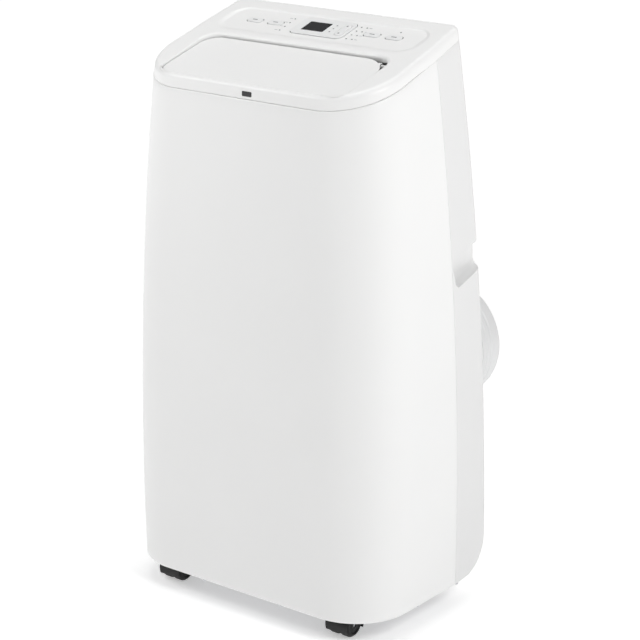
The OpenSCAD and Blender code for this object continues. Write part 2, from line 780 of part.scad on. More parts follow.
module caster_axle(stem) color(metal_grey) translate([stem.x, stem.y + stem.z * trail, wheel_r])
    bore_x(axle_r, web_t + 2 * wheel_gap + 2 * wheel_w - 2);

module wheel_pair(stem) color(deep_black) translate([stem.x, stem.y + stem.z * trail, wheel_r])
    for (side = [-1, 1]) rotate([0, side * 90, 0]) translate([0, 0, web_t / 2 + wheel_gap])
        rotate_extrude($fn = 64) polygon([[axle_r, 0], [wheel_r - 1.5, 0], [wheel_r, 1.5],
            [wheel_r, wheel_w - 3], [wheel_r - 3, wheel_w], [axle_r, wheel_w]]);

function box_ring(half_w, y0, y1, z) = [[half_w, y0, z], [half_w, y1, z],
                                        [-half_w, y1, z], [-half_w, y0, z]];

// Funnel from the upper blower to the opening under the flap
module funnel(grow, extra) {
    x_throat = (throat_x1 - throat_x0) / 2;
    y_front = upper_back - scroll_depth(blower_w);
    low_y0 = y_front + 4 - grow;
    low_y1 = upper_back - 4 + grow;
    loft([box_ring(x_throat + grow, low_y0, low_y1, throat_top - extra),
          box_ring(x_throat + grow, low_y0, low_y1, throat_top),
          box_ring(outlet_half + grow, outlet_y0 - grow, outlet_y1 + grow, flare_z),
          box_ring(outlet_half + grow, outlet_y0 - grow, outlet_y1 + grow, body_h)]);
}

module outlet_duct() color(foam_white) difference() {
    intersection() {
        funnel(outlet_wall, 0);
        below_top(20);
    }
    funnel(0, 1);
    for (k = [0:vane_count - 1]) translate([vane_x(k), outlet_y0 - 10, vane_pivot_z])
        bore_y(vane_pin_r + running, outlet_y1 - outlet_y0 + 20);
}

function vane_x(k) = (k - (vane_count - 1) / 2) * vane_pitch;

module vane(k) color(trim_grey) translate([vane_x(k), 0, vane_pivot_z]) {
    side_gap = 1.2;
    low = outlet_y0 + side_gap;
    high = outlet_y1 - side_gap;
    difference() {
        translate([-0.9, low, -4]) cube([1.8, high - low, vane_h + 4]);
        translate([-2, link_y - 5, -6]) cube([4, 10, 4.4]);
    }
    translate([0, outlet_y0 - outlet_wall, 0]) bore_y(vane_pin_r, outlet_y1 - outlet_y0 + 2 * outlet_wall);
    translate([-0.9, link_y - 9, -link_drop - 2]) cube([1.8, 3, 9]);
    translate([0, link_y - 7, -link_drop]) bore_y(1, 9.5);
}

module vane_link() color(trim_grey) translate([0, 0, vane_pivot_z - link_drop]) difference() {
    span = (vane_count - 1) * vane_pitch / 2 + 7;
    translate([-span, link_y - 1.4, -4]) cube([2 * span, 2.8, 8]);
    for (k = [0:vane_count - 1]) translate([vane_x(k) - 1.5, link_y - 3, -2.4]) cube([3, 6, 4.8]);
}

// Compressor with its accumulator, on a mounting plate and three grommets
module compressor() color([0.12, 0.12, 0.13]) translate([compressor_x, compressor_y, 0]) {
    translate([0, 0, compressor_z]) rotate_extrude($fn = fine)
        polygon([[0, 0], [compressor_r - 12, 0], [compressor_r, 14], [compressor_r, compressor_h - 18],
                 [compressor_r - 16, compressor_h - 4], [0, compressor_h]]);
    translate([0, 0, compressor_z + compressor_h - 2]) cylinder(r = 5, h = 12, $fn = fine);
    difference() {
        translate([0, 0, plate_z]) cylinder(r = compressor_r - 2, h = 5, $fn = fine);
        for (a = grommet_angles) rotate([0, 0, a]) translate([compressor_r - 12, 0, plate_z - 1])
            cylinder(r = 5, h = 5, $fn = fine);
    }
    translate([accumulator_x, accumulator_y, compressor_z + 50]) {
        cylinder(r = accumulator_r, h = 120, $fn = fine);
        translate([0, 0, 118]) cylinder(r = 5, h = 12, $fn = fine);
    }
    translate([accumulator_x / 2, accumulator_y / 2, compressor_z + 100])
        rotate([0, 0, atan2(accumulator_y, accumulator_x)]) cube([70, 10, 16], center = true);
}

module compressor_grommets() color([0.10, 0.10, 0.10]) translate([compressor_x, compressor_y, 0])
    for (a = grommet_angles) rotate([0, 0, a]) translate([compressor_r - 12, 0, pocket_top + pan_wall]) {
        cylinder(r = 9, h = plate_z - pocket_top - pan_wall, $fn = fine);
        cylinder(r = 5, h = compressor_z - pocket_top - pan_wall, $fn = fine);
    }

// Copper pipes made of straight runs with round elbows
module pipe_run(points, r) {
    for (i = [0:len(points) - 2]) {
        step = points[i + 1] - points[i];
        length = norm(step);
        translate(points[i]) rotate([0, acos(step.z / length), atan2(step.y, step.x)])
            cylinder(r = r, h = length, $fn = 24);
    }
    for (i = [1:len(points) - 2]) translate(points[i]) sphere(r = r + 0.5, $fn = 24);
}

// The pipes enter both coils above the last return bend
module refrigerant_pipes() color(copper_tone) {
    coil_entry = lower_z1 + 2;
    upper_entry = coil_top - 8;
    crossing = tray_z - 14;
    pipe_run([[compressor_x, compressor_y, discharge_z], [compressor_x, compressor_y, discharge_z + 26],
              [discharge_x, compressor_y, discharge_z + 26], [discharge_x, compressor_y, coil_entry],
              [discharge_x, discharge_y, coil_entry], [condenser_x0 + 10 - running, discharge_y, coil_entry]], pipe_r);
    pipe_run([[compressor_x + accumulator_x, compressor_y + accumulator_y, suction_z],
              [compressor_x + accumulator_x, compressor_y + accumulator_y, crossing],
              [suction_x, suction_y, crossing], [suction_x, suction_y, upper_entry],
              [-coil_half + 10 - running, suction_y, upper_entry]], pipe_r);
}

module electrical_box() color(trim_grey) translate(box_place) difference() {
    cube(box_size);
    translate([2, -1, 2]) cube([box_size.x - 4, box_size.y - 1, box_size.z - 4]);
    translate([box_size.x / 2, box_size.y / 2, -1]) cylinder(r = 8, h = 4, $fn = fine);
}

module run_capacitor() color(metal_grey) translate(box_place + [box_size.x / 2, box_size.y / 2 + 16, 2]) {
    cylinder(r = 20, h = 82, $fn = fine);
    for (x = [-7, 7]) translate([x - 3, -0.5, 82]) cube([6, 1, 8]);
}

// Grommet for the mains lead in the rear cover
module cord_gland() color(deep_black) {
    y = rear_y(gland.z);
    translate([gland.x, y - 8, gland.z]) difference() {
        union() {
            bore_y(gland_r, 18);
            translate([0, 9, 0]) bore_y(gland_r + 4, 3);
        }
        translate([0, -1, 0]) bore_y(4.2, 30);
    }
}

// Rubber drain plugs with a finger ring
module drain_plug(place) color(deep_black) {
    y = rear_y(place.z);
    translate([place.x, y, place.z]) difference() {
        union() {
            translate([0, -16, 0]) bore_y(drain_r, 20);
            translate([0, 1, 0]) bore_y(drain_r + 4, 3);
            translate([-1.5, 3, -8]) cube([3, 10, 16]);
        }
        translate([0, 9, 0]) bore_x(2.5, 10);
    }
}

module lower_drain_plug() drain_plug(lower_drain);
module upper_drain_plug() drain_plug(upper_drain);

front_shell();
rear_cover();
grip_cups();
top_cover();
base_pan();
shell_screws();
louver_flap();
flap_motor();
display_bezel();
display_window();
temp_rocker();
push_button(button_spots[0]);  // swing_button
push_button(button_spots[1]);  // speed_button
push_button(button_spots[2]);  // mode_button
push_button(button_spots[3]);  // power_button
indicator_lights();
control_board();
ir_window();
upper_grille();
upper_filter();
lower_grille();
lower_filter();
exhaust_collar();
exhaust_duct();
outlet_duct();
vane(0);  // vane_1
vane(1);  // vane_2
vane(2);  // vane_3
vane(3);  // vane_4
vane(4);  // vane_5
vane_link();
caster_body(stems[0]);  // caster_front_left
caster_body(stems[1]);  // caster_front_right
caster_body(stems[2]);  // caster_rear_left
caster_body(stems[3]);  // caster_rear_right
caster_axle(stems[0]);  // axle_front_left
caster_axle(stems[1]);  // axle_front_right
caster_axle(stems[2]);  // axle_rear_left
caster_axle(stems[3]);  // axle_rear_right
wheel_pair(stems[0]);  // wheels_front_left
wheel_pair(stems[1]);  // wheels_front_right
wheel_pair(stems[2]);  // wheels_rear_left
wheel_pair(stems[3]);  // wheels_rear_right
evaporator_coil();
evaporator_scroll();
evaporator_blower();
evaporator_motor();
condenser_coil();
condenser_scroll();
condenser_blower();
condenser_motor();
compressor();
compressor_grommets();
refrigerant_pipes();
partition_tray();
electrical_box();
run_capacitor();
cord_gland();
lower_drain_plug();
upper_drain_plug();
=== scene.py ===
"""Portable air conditioner: meshes, materials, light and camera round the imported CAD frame.

Everything is in metres in the CAD's own frame: X is the width, +Y points to the rear, +Z is up.
"""
import json
import math

import bmesh
import bpy
from mathutils import Matrix, Vector
from mathutils.geometry import tessellate_polygon


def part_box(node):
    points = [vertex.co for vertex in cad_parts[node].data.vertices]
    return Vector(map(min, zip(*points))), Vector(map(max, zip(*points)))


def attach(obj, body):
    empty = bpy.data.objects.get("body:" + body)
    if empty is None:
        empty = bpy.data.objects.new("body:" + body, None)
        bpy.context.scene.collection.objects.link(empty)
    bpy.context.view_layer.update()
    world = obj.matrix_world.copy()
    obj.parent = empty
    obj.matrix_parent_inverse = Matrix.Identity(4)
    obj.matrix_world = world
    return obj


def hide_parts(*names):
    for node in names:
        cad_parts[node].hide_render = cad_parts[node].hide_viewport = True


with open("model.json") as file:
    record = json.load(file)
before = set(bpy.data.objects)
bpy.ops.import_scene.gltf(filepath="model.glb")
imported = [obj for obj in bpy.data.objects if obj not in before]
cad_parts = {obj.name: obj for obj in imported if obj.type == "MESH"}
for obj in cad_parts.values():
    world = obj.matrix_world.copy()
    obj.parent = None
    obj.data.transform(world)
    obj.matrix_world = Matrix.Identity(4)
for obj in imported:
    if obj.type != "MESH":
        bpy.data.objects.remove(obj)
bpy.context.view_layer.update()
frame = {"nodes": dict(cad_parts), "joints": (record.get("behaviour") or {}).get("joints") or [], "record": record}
joints = {joint["name"]: joint for joint in frame["joints"]}
node_slot = {part["node"]: part["material_slot"] for part in frame["record"]["subparts"]}

# The outer surface: the same curves as in the CAD
side_swell = 0.034
side_draw = 0.058
front_lean = 0.008
front_bow = 0.006
rear_lean = 0.042
seam_y0 = 0.034
seam_lean = 0.027
front_corner_r = 0.072
rear_corner_r = 0.014
foot_r = 0.045
rim_drop = 0.060
split_drop = 0.014
wall = 0.0025
lip = 0.008
rear_taper = 0.0022

body_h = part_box("top_cover")[1].z
floor_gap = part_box("front_shell")[0].z
body_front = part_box("front_shell")[0].y
base_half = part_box("front_shell")[1].x - side_swell ** 2 / (4 * side_draw)
rear_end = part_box("rear_cover")[1].y + rear_lean * (floor_gap + foot_r) / body_h
rim_h = body_h - rim_drop


def level(z):
    return z / body_h


def half_width(z):
    return base_half + side_swell * level(z) - side_draw * level(z) ** 2


def front_y(z):
    return body_front + front_lean * level(z) + front_bow * level(z) ** 2


def foot_cut(z, inset):
    """How far the rounded foot has drawn the rear in at height z."""
    up = floor_gap + foot_r - z
    r = foot_r - inset
    return 0 if up <= 0 else r - math.sqrt(max(r * r - up * up, 0))


def rear_y(z, inset=0):
    return rear_end - rear_lean * level(z) - inset - foot_cut(z, inset)


def seam_y(z):
    return seam_y0 - seam_lean * level(z)


rim_y = front_y(rim_h)
top_tilt = math.atan2(rim_drop, rear_y(body_h) - rim_y)
rear_tilt = math.atan2(rear_lean, body_h)
top_turn = Matrix.Rotation(top_tilt, 3, "X")


def on_top(x, s, d):
    """A point on the sloped top: s runs up the slope from the front rim, d stands off it."""
    return Vector((x, rim_y + s * math.cos(top_tilt) - d * math.sin(top_tilt),
                   rim_h + s * math.sin(top_tilt) + d * math.cos(top_tilt)))


def on_rear(x, z, d):
    """A point on the rear face: z runs up it, d stands off it."""
    return Vector((x, rear_end - z * math.sin(rear_tilt) + d * math.cos(rear_tilt),
                   z * math.cos(rear_tilt) + d * math.sin(rear_tilt)))


def middle_of(name):
    """The middle of a CAD node's box."""
    low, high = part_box(name)
    return (low + high) / 2


def slope_place(point):
    """How far up the slope a point lies."""
    return (point[1] - rim_y) * math.cos(top_tilt) + (point[2] - rim_h) * math.sin(top_tilt)


def under_top(y, drop):
    """Height of the plane that lies drop under the sloped top, at one y."""
    return rim_h + (y - rim_y) * math.tan(top_tilt) - drop / math.cos(top_tilt)


def smooth(x, low, high):
    """0 below low, 1 above high, with a soft turn between them."""
    t = min(max((x - low) / (high - low), 0), 1)
    return t * t * (3 - 2 * t)


def outline(part, t, z, inset):
    """(x, y) on the right half of the body's outline at height z; t goes from 0 to 1 along a part."""
    a = half_width(z) - inset
    front = front_y(z) + inset
    back = rear_y(z, inset)
    rf = front_corner_r - inset
    rr = max(rear_corner_r - inset, 0.002)
    if part == "front":
        return t * (a - rf), front
    if part == "corner":
        angle = math.radians(90 * (t - 1))
        return a - rf + rf * math.cos(angle), front + rf + rf * math.sin(angle)
    if part == "side":
        return a, front + rf + t * (seam_y(z) - front - rf)
    a -= rear_taper * (t if part == "rear_side" else 1)
    if part == "rear_side":
        return a, seam_y(z) + t * (back - rr - seam_y(z))
    if part == "rear_corner":
        angle = math.radians(90 * t)
        return a - rr + rr * math.cos(angle), back - rr + rr * math.sin(angle)
    return (1 - t) * (a - rr), back


# ---------------------------------------------------------------- mesh helpers

sharp_angle = math.radians(38)


class Skin:
    """Points and faces of one mesh, built up from rings of points."""

    def __init__(self):
        self.points = []
        self.faces = []

    def ring(self, points):
        first = len(self.points)
        self.points.extend(Vector(p) for p in points)
        return list(range(first, len(self.points)))

    def strip(self, low, high, closed=True):
        """Quads between two rings of equal length."""
        count = len(low)
        for i in range(count if closed else count - 1):
            j = (i + 1) % count
            self.faces.append((low[i], low[j], high[j], high[i]))

    def rings(self, loops, closed=True):
        """Strips through several rings, and the index lists of those rings."""
        made = [self.ring(loop) for loop in loops]
        for low, high in zip(made, made[1:]):
            self.strip(low, high, closed)
        return made

    def fill(self, outer, holes=(), flat=(0, 1)):
        """A flat face inside outer and outside the holes; flat names the two axes it is drawn in."""
        loops = [outer, *holes]
        drawn = [[Vector((self.points[i][flat[0]], self.points[i][flat[1]], 0)) for i in loop]
                 for loop in loops]
        indices = [i for loop in loops for i in loop]
        for a, b, c in tessellate_polygon(drawn):
            self.faces.append((indices[a], indices[b], indices[c]))

    def cap(self, loop):
        """A fan over a convex ring."""
        centre = sum((self.points[i] for i in loop), Vector()) / len(loop)
        middle = self.ring([centre])[0]
        for i in range(len(loop)):
            self.faces.append((loop[i], loop[(i + 1) % len(loop)], middle))


def loose(name, skin):
    """An object with no body yet, for cutting and joining."""
    mesh = bpy.data.meshes.new(name)
    mesh.from_pydata([tuple(p) for p in skin.points], [], skin.faces)
    bm = bmesh.new()
    bm.from_mesh(mesh)
    bmesh.ops.remove_doubles(bm, verts=bm.verts, dist=1e-6)
    bmesh.ops.dissolve_degenerate(bm, edges=bm.edges, dist=1e-7)
    bmesh.ops.recalc_face_normals(bm, faces=bm.faces)
    bm.to_mesh(mesh)
    bm.free()
    made = bpy.data.objects.new(name, mesh)
    bpy.context.scene.collection.objects.link(made)
    return made


def piece(name, skin, body, slot, replaces=(), weighted=False):
    """Turns a skin into an object that rides on a body and takes its finish from a slot."""
    return finish(loose(name, skin), body, slot, replaces, weighted)


def finish(made, body, slot, replaces=(), weighted=False, look=None):
    """Shades an object, gives it the material of its look or slot, and binds it to its body."""
    mesh = made.data
    mesh.shade_smooth()
    mesh.set_sharp_from_angle(angle=sharp_angle)
    if weighted:
        turn = made.modifiers.new("weighted", "WEIGHTED_NORMAL")
        turn.keep_sharp = True
        turn.weight = 80
    mesh.materials.clear()
    mesh.materials.append(materials[look or slot])
    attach(made, body)
    if replaces:
        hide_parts(*replaces)
    return made


def bake(made):
    """Replaces an object's mesh by the one its modifiers make."""
    depsgraph = bpy.context.evaluated_depsgraph_get()
    depsgraph.update()
    mesh = bpy.data.meshes.new_from_object(made.evaluated_get(depsgraph))
    made.modifiers.clear()
    made.data = mesh


def combine(target, tool, operation):
    """Joins a tool to the target or cuts with it, and removes the tool."""
    step = target.modifiers.new(operation, "BOOLEAN")
    step.operation = operation
    step.object = tool
    step.solver = "EXACT"
    bake(target)
    bpy.data.objects.remove(tool)


def quarter(r, steps):
    """Pairs down a quarter circle, from (r, 0) to (0, r)."""
    angles = [math.radians(90 * k / steps) for k in range(steps + 1)]
    return [(r * (1 - math.sin(angle)), r * (1 - math.cos(angle))) for angle in angles]


def plate_loop(half_w, low, high, r_low, r_high, steps=8):
    """A function from inset to the points of a rounded rectangle, centred on x."""
    def loop(inset):
        a = half_w - inset
        b, t = low + inset, high - inset
        r0, r1 = max(r_low - inset, 0.0004), max(r_high - inset, 0.0004)
        corners = [(a - r0, b + r0, r0, -90), (a - r1, t - r1, r1, 0),
                   (-a + r1, t - r1, r1, 90), (-a + r0, b + r0, r0, 180)]
        points = []
        for x, y, r, start in corners:
            for k in range(steps + 1):
                angle = math.radians(start + 90 * k / steps)
                points.append((x + r * math.cos(angle), y + r * math.sin(angle)))
        return points
    return loop


def moved(loop, x, y):
    return lambda inset: [(px + x, py + y) for px, py in loop(inset)]


def pill(x, y, half_w, half_h, r, steps=8):
    """A rounded rectangle about a point, as a function from inset to its points."""
    return moved(plate_loop(half_w, -half_h, half_h, r, r, steps), x, y)


def rounded_slab(skin, loop, place, thick, edge, insets=(), back_edge=None, steps=4):
    """A closed plate with rolled edges. place maps (x, y, depth, inset) to a point, 0 is the face."""
    back = edge if back_edge is None else back_edge
    profile = [(inset, up - thick) for inset, up in quarter(back, steps)]
    profile += [(inset, -down) for down, inset in quarter(edge, steps)]
    profile += [(inset, 0) for inset in insets]
    made = skin.rings([[place(x, y, depth, inset) for x, y in loop(inset)] for inset, depth in profile])
    skin.cap(made[0])
    skin.cap(made[-1])


def lathe(skin, profile, centre, axis, steps=64, closed=False):
    """Turns (radius, place along the axis) pairs about an axis. Radius 0 makes a tip."""
    axis = Vector(axis).normalized()
    side = axis.orthogonal().normalized()
    up = axis.cross(side)
    loops = []
    for r, along in profile:
        loops.append([Vector(centre) + axis * along
                      + side * (max(r, 1e-5) * math.cos(2 * math.pi * k / steps))
                      + up * (max(r, 1e-5) * math.sin(2 * math.pi * k / steps)) for k in range(steps)])
    made = skin.rings(loops)
    if closed:
        skin.strip(made[-1], made[0])
    else:
        skin.cap(made[0])
        skin.cap(made[-1])


def rolled(points, r, steps=3):
    """The same closed or open profile with its corners rounded by r."""
    out = []
    for before, here, after in zip([points[0], *points[:-1]], points, [*points[1:], points[-1]]):
        here = Vector(here)
        into = Vector(before) - here
        away = Vector(after) - here
        if into.length < 1e-7 or away.length < 1e-7:
            out.append(tuple(here))
            continue
        cut = min(r, into.length * 0.45, away.length * 0.45)
        start = here + into.normalized() * cut
        end = here + away.normalized() * cut
        for k in range(steps + 1):
            t = k / steps
            p = start * (1 - t) ** 2 + here * 2 * t * (1 - t) + end * t ** 2
            out.append(tuple(p))
    return out


def add_bar(skin, r, low, high, centre, axis, edge, steps):
    """A round bar with rolled ends, from low to high along an axis."""
    lathe(skin, rolled([(0, low), (r, low), (r, high), (0, high)], edge), centre, axis, steps)


def add_box(skin, size, middle, turn=Matrix.Identity(3), edge=0.0005):
    """A box with rolled edges, turned about its middle."""
    bm = bmesh.new()
    bmesh.ops.create_cube(bm, size=1)
    bmesh.ops.scale(bm, vec=size, verts=bm.verts)
    if edge:
        bmesh.ops.bevel(bm, geom=bm.edges[:], offset=edge, segments=3, affect="EDGES", profile=0.5)
    bm.verts.ensure_lookup_table()
    first = len(skin.points)
    skin.points.extend(Vector(middle) + turn @ v.co for v in bm.verts)
    skin.faces.extend(tuple(first + v.index for v in f.verts) for f in bm.faces)
    bm.free()


# ---------------------------------------------------------------- materials

def shader(name):
    made = bpy.data.materials.new(name)
    made.use_nodes = True
    tree = made.node_tree
    return made, tree, tree.nodes["Principled BSDF"]


def put(node, values):
    """Sets some inputs of a shader node."""
    for name, value in values.items():
        node.inputs[name].default_value = value


def noise(tree, scale, detail=3.0, stretch=(1, 1, 1)):
    """Noise in the object's own metres, as a value socket."""
    place = tree.nodes.new("ShaderNodeTexCoord")
    size = tree.nodes.new("ShaderNodeMapping")
    put(size, {"Scale": stretch})
    grain = tree.nodes.new("ShaderNodeTexNoise")
    put(grain, {"Scale": scale, "Detail": detail})
    tree.links.new(place.outputs["Object"], size.inputs["Vector"])
    tree.links.new(size.outputs["Vector"], grain.inputs["Vector"])
    return grain.outputs["Fac"]


def spread(tree, value, low, high, start=0.3, end=0.7):
    """Maps a value between start and end onto low to high."""
    step = tree.nodes.new("ShaderNodeMapRange")
    put(step, {"From Min": start, "From Max": end, "To Min": low, "To Max": high})
    tree.links.new(value, step.inputs["Value"])
    return step.outputs["Result"]


def two_tone(tree, value, first, second):
    blend = tree.nodes.new("ShaderNodeMix")
    blend.data_type = "RGBA"
    blend.inputs[6].default_value = (*first, 1)
    blend.inputs[7].default_value = (*second, 1)
    tree.links.new(value, blend.inputs["Factor"])
    return blend.outputs[2]


def bumped(tree, bsdf, value, strength, distance):
    bump = tree.nodes.new("ShaderNodeBump")
    put(bump, {"Strength": strength, "Distance": distance})
    tree.links.new(value, bump.inputs["Height"])
    tree.links.new(bump.outputs["Normal"], bsdf.inputs["Normal"])


def moulded(name, tone, rough, grain=900, depth=0.00004, vary=0.02, specular=0.5, coat=0.0):
    """Moulded plastic: fine surface grain, a slow drift of tone and uneven gloss."""
    made, tree, bsdf = shader(name)
    darker = tuple(c * (1 - vary) for c in tone)
    drift = spread(tree, noise(tree, 9.0), 0, 1)
    tree.links.new(two_tone(tree, drift, tone, darker), bsdf.inputs["Base Color"])
    tree.links.new(spread(tree, noise(tree, 60.0), rough - 0.03, rough + 0.03), bsdf.inputs["Roughness"])
    put(bsdf, {"Specular IOR Level": specular, "Coat Weight": coat})
    bumped(tree, bsdf, noise(tree, grain, 2.0), 0.25, depth)
    return made


def metal(name, tone, rough, stretch=(1, 1, 1), grain=400, metallic=1.0):
    """Drawn or brushed metal: the grain is stretched along one axis."""
    made, tree, bsdf = shader(name)
    streaks = noise(tree, grain, 3.0, stretch)
    darker = tuple(c * 0.8 for c in tone)
    tree.links.new(two_tone(tree, spread(tree, streaks, 0, 1), tone, darker), bsdf.inputs["Base Color"])
    tree.links.new(spread(tree, streaks, rough - 0.06, rough + 0.08), bsdf.inputs["Roughness"])
    put(bsdf, {"Metallic": metallic})
    bumped(tree, bsdf, streaks, 0.2, 0.00003)
    return made


def striped(name, tone, painted_gap_shade_tone, pitch, direction, rough, metallic=0.0):
    """Fine parallel ribs, such as coil fins or one set of threads in a net; the gaps between the ribs take a
    darker tone, painted shade.
    """
    made, tree, bsdf = shader(name)
    place = tree.nodes.new("ShaderNodeTexCoord")
    values = []
    for way in direction:
        wave = tree.nodes.new("ShaderNodeTexWave")
        wave.bands_direction = way
        wave.wave_profile = "SIN"
        put(wave, {"Scale": 1 / (pitch * math.pi)})
        tree.links.new(place.outputs["Object"], wave.inputs["Vector"])
        values.append(wave.outputs["Fac"])
    height = values[0]
    for other in values[1:]:
        join = tree.nodes.new("ShaderNodeMath")
        join.operation = "MAXIMUM"
        tree.links.new(height, join.inputs[0])
        tree.links.new(other, join.inputs[1])
        height = join.outputs["Value"]
    # the dark tone in the gaps between the ribs is painted shade
    tree.links.new(two_tone(tree, height, painted_gap_shade_tone, tone), bsdf.inputs["Base Color"])
    put(bsdf, {"Roughness": rough, "Metallic": metallic})
    bumped(tree, bsdf, height, 0.6, pitch * 0.4)
    return made


def make_materials():
    """One finish for each material slot of the record, and the printed marks."""
    looks = {
        "shell": (moulded, (0.905, 0.905, 0.90), 0.36, 1400, 0.00003, 0.012),
        # a darker copy of the shell's white: painted shade for the rear cover, which turns away from the light
        "rear_shell": (moulded, (0.82, 0.82, 0.818), 0.44, 1100, 0.00004, 0.012),
        "trim": (moulded, (0.86, 0.865, 0.865), 0.32, 1200, 0.00002, 0.012),
        "collar": (moulded, (0.76, 0.762, 0.765), 0.40, 1000, 0.00004, 0.02),
        "window": (moulded, (0.010, 0.010, 0.012), 0.12, 500, 0.00001, 0.2, 0.5, 0.3),
        "light": (moulded, (0.30, 0.32, 0.31), 0.25, 800, 0.00001, 0.05),
        "caster": (moulded, (0.011, 0.011, 0.012), 0.46, 1100, 0.00006, 0.15, 0.35),
        "wheel": (moulded, (0.010, 0.010, 0.011), 0.52, 900, 0.00008, 0.15, 0.35),
        "steel": (metal, (0.62, 0.63, 0.65), 0.30, (1, 8, 8)),
        "motor": (metal, (0.55, 0.56, 0.58), 0.42, (1, 1, 6), 250, 0.9),
        "pan": (moulded, (0.20, 0.205, 0.22), 0.55, 500, 0.0001, 0.08),
        "inner_white": (moulded, (0.72, 0.73, 0.74), 0.60, 350, 0.0001, 0.05),
        "vane": (moulded, (0.80, 0.805, 0.805), 0.42, 900, 0.00004, 0.02),
        # net and coil: the second tone is painted shade in the gaps between the threads and between the fins
        "net": (striped, (0.16, 0.17, 0.19), (0.03, 0.032, 0.035), 0.0012, "XZ", 0.6),
        "blower": (moulded, (0.10, 0.11, 0.12), 0.50, 500, 0.00008, 0.1),
        "coil": (striped, (0.75, 0.76, 0.78), (0.18, 0.19, 0.20), 0.0018, "X", 0.35, 0.9),
        "compressor": (moulded, (0.018, 0.018, 0.020), 0.30, 120, 0.0002, 0.2, 0.5, 0.4),
        "rubber": (moulded, (0.022, 0.022, 0.022), 0.72, 700, 0.0001, 0.2, 0.3),
        "copper": (metal, (0.80, 0.42, 0.24), 0.28, (4, 4, 1), 300),
        "board": (moulded, (0.015, 0.11, 0.05), 0.35, 300, 0.00003, 0.3, 0.5, 0.5),
        "box": (moulded, (0.60, 0.61, 0.62), 0.50, 600, 0.00006, 0.04),
        "capacitor": (metal, (0.72, 0.72, 0.74), 0.32, (1, 1, 5)),
        "ink": (moulded, (0.20, 0.20, 0.21), 0.55, 900, 0.00001, 0.08),
        "glyph": (moulded, (0.42, 0.43, 0.44), 0.5, 900, 0.00001, 0.05),
    }
    return {name: kind(name, *values) for name, (kind, *values) in looks.items()}


materials = make_materials()


# ---------------------------------------------------------------- outer shells

seam_gap = 0.0001
seam_roll = 0.0006
crease_gap = 0.0002
crease_roll = 0.0016
back_roll = 0.0004
crease_step = 0.0006
slit_s = (0.033, 0.109)
slit_open = 0.0003
foot_roll = 0.0030
roll_steps = 3


def roll(r, reverse=False):
    """(distance past the straight part, inset) pairs round a quarter circle."""
    pairs = [(r * math.sin(math.radians(90 * k / roll_steps)),
              r * (1 - math.cos(math.radians(90 * k / roll_steps)))) for k in range(roll_steps + 1)]
    return pairs[::-1] if reverse else pairs


def front_weight(point):
    """1 along the front and round its corners, falling to 0 behind the side slits."""
    return 1 - smooth(slope_place(point), slit_s[1] - 0.004, slit_s[1] + 0.010)


def slit_weight(point):
    """1 along the side slits, 0 elsewhere."""
    if abs(point[0]) < half_width(point[2]) - front_corner_r * 0.5:
        return 0
    s = slope_place(point)
    start = smooth(s, slit_s[0] - 0.003, slit_s[0] + 0.006)
    return start * (1 - smooth(s, slit_s[1] - 0.006, slit_s[1] + 0.003))


def along_seam(part, t, offset, z, inset):
    """Outline point, moved along y by an offset measured from the seam."""
    x, y = outline(part, t, z, inset)
    return x, y + offset


def seam_columns(part, t, way):
    """The last columns before the seam: way is 1 when they come from the front, -1 from the rear."""
    reach = seam_gap + seam_roll
    return [(part, t, way * (past - reach), inset) for past, inset in roll(seam_roll)]


def crease_height(column, z_guess, drop):
    """Height at which a column of the outline meets the plane drop under the sloped top."""
    part, t, offset, inset = column
    z = z_guess
    for _ in range(8):
        z = under_top(along_seam(part, t, offset, z, inset)[1], drop)
    return z


def wall_rows(column, body_rows, foot_rows):
    """(height, inset) of the outer rows of one column, from the lip at the bottom to the crease."""
    rows = [(floor_gap, lip), (floor_gap, (lip + foot_roll) / 2)]
    rows += [(floor_gap + foot_roll - past, inset) for past, inset in roll(foot_roll, reverse=True)]
    top = crease_height(column, rim_h, split_drop)
    x, y = along_seam(*column[:3], top, 0)
    turn = back_roll + (crease_roll - back_roll) * front_weight((x, y, top))
    heights = [floor_gap + foot_roll]
    heights += [floor_gap + foot_r * (1 - math.cos(math.radians(90 * k / foot_rows)))
                for k in range(4, foot_rows + 1)]
    low = heights[-1]
    heights += [low + (top - turn - low) * k / body_rows for k in range(1, body_rows + 1)]
    rows += [(z, 0) for z in heights[1:]]
    rows += [(top - turn + past, inset) for past, inset in roll(turn)[1:]]
    return rows


def shell_skin(columns, body_rows, foot_rows=0):
    """A closed wall: an outer sheet with rolled borders, an inner sheet, and strips between them."""
    skin = Skin()
    profiles = [wall_rows(column[:4], body_rows, foot_rows) for column in columns]
    lip_rows = 2 + roll_steps
    outer = []
    inner = []
    for row in range(len(profiles[0])):
        outside = []
        inside = []
        for (part, t, offset, inset, side), profile in zip(columns, profiles):
            z, more = profile[row]
            x, y = along_seam(part, t, offset, z, max(inset, more))
            outside.append((side * x, y, z))
            depth = wall + (lip - wall) * max(1 - row / lip_rows, 0)
            z_in = max(z, floor_gap + wall + row * 1e-5)
            x, y = along_seam(part, t, offset, z_in, depth)
            inside.append((side * x, y, z_in))
        outer.append(skin.ring(outside))
        inner.append(skin.ring(inside))
    for sheet in (outer, inner):
        for low, high in zip(sheet, sheet[1:]):
            skin.strip(low, high, closed=False)
    skin.strip(outer[0], inner[0], closed=False)
    skin.strip(outer[-1], inner[-1], closed=False)
    for end in (0, -1):
        skin.strip([ring[end] for ring in outer], [ring[end] for ring in inner], closed=False)
    return skin


def both_sides(columns):
    """Columns right across the body, from the left border to the right one."""
    left = [(*column, -1) for column in columns[:0:-1]]
    return left + [(*column, 1) for column in columns]


def run(part, count, reverse=False):
    """Evenly spaced columns along one part of the outline, without its last place."""
    return [(part, 1 - k / count if reverse else k / count, 0, 0) for k in range(count)]


def front_shell():
    half = run("front", 12) + run("corner", 24) + run("side", 12) + seam_columns("side", 1, 1)
    skin = shell_skin(both_sides(half), 56)
    return piece("front_shell_skin", skin, "cabinet", "shell", ["front_shell"])


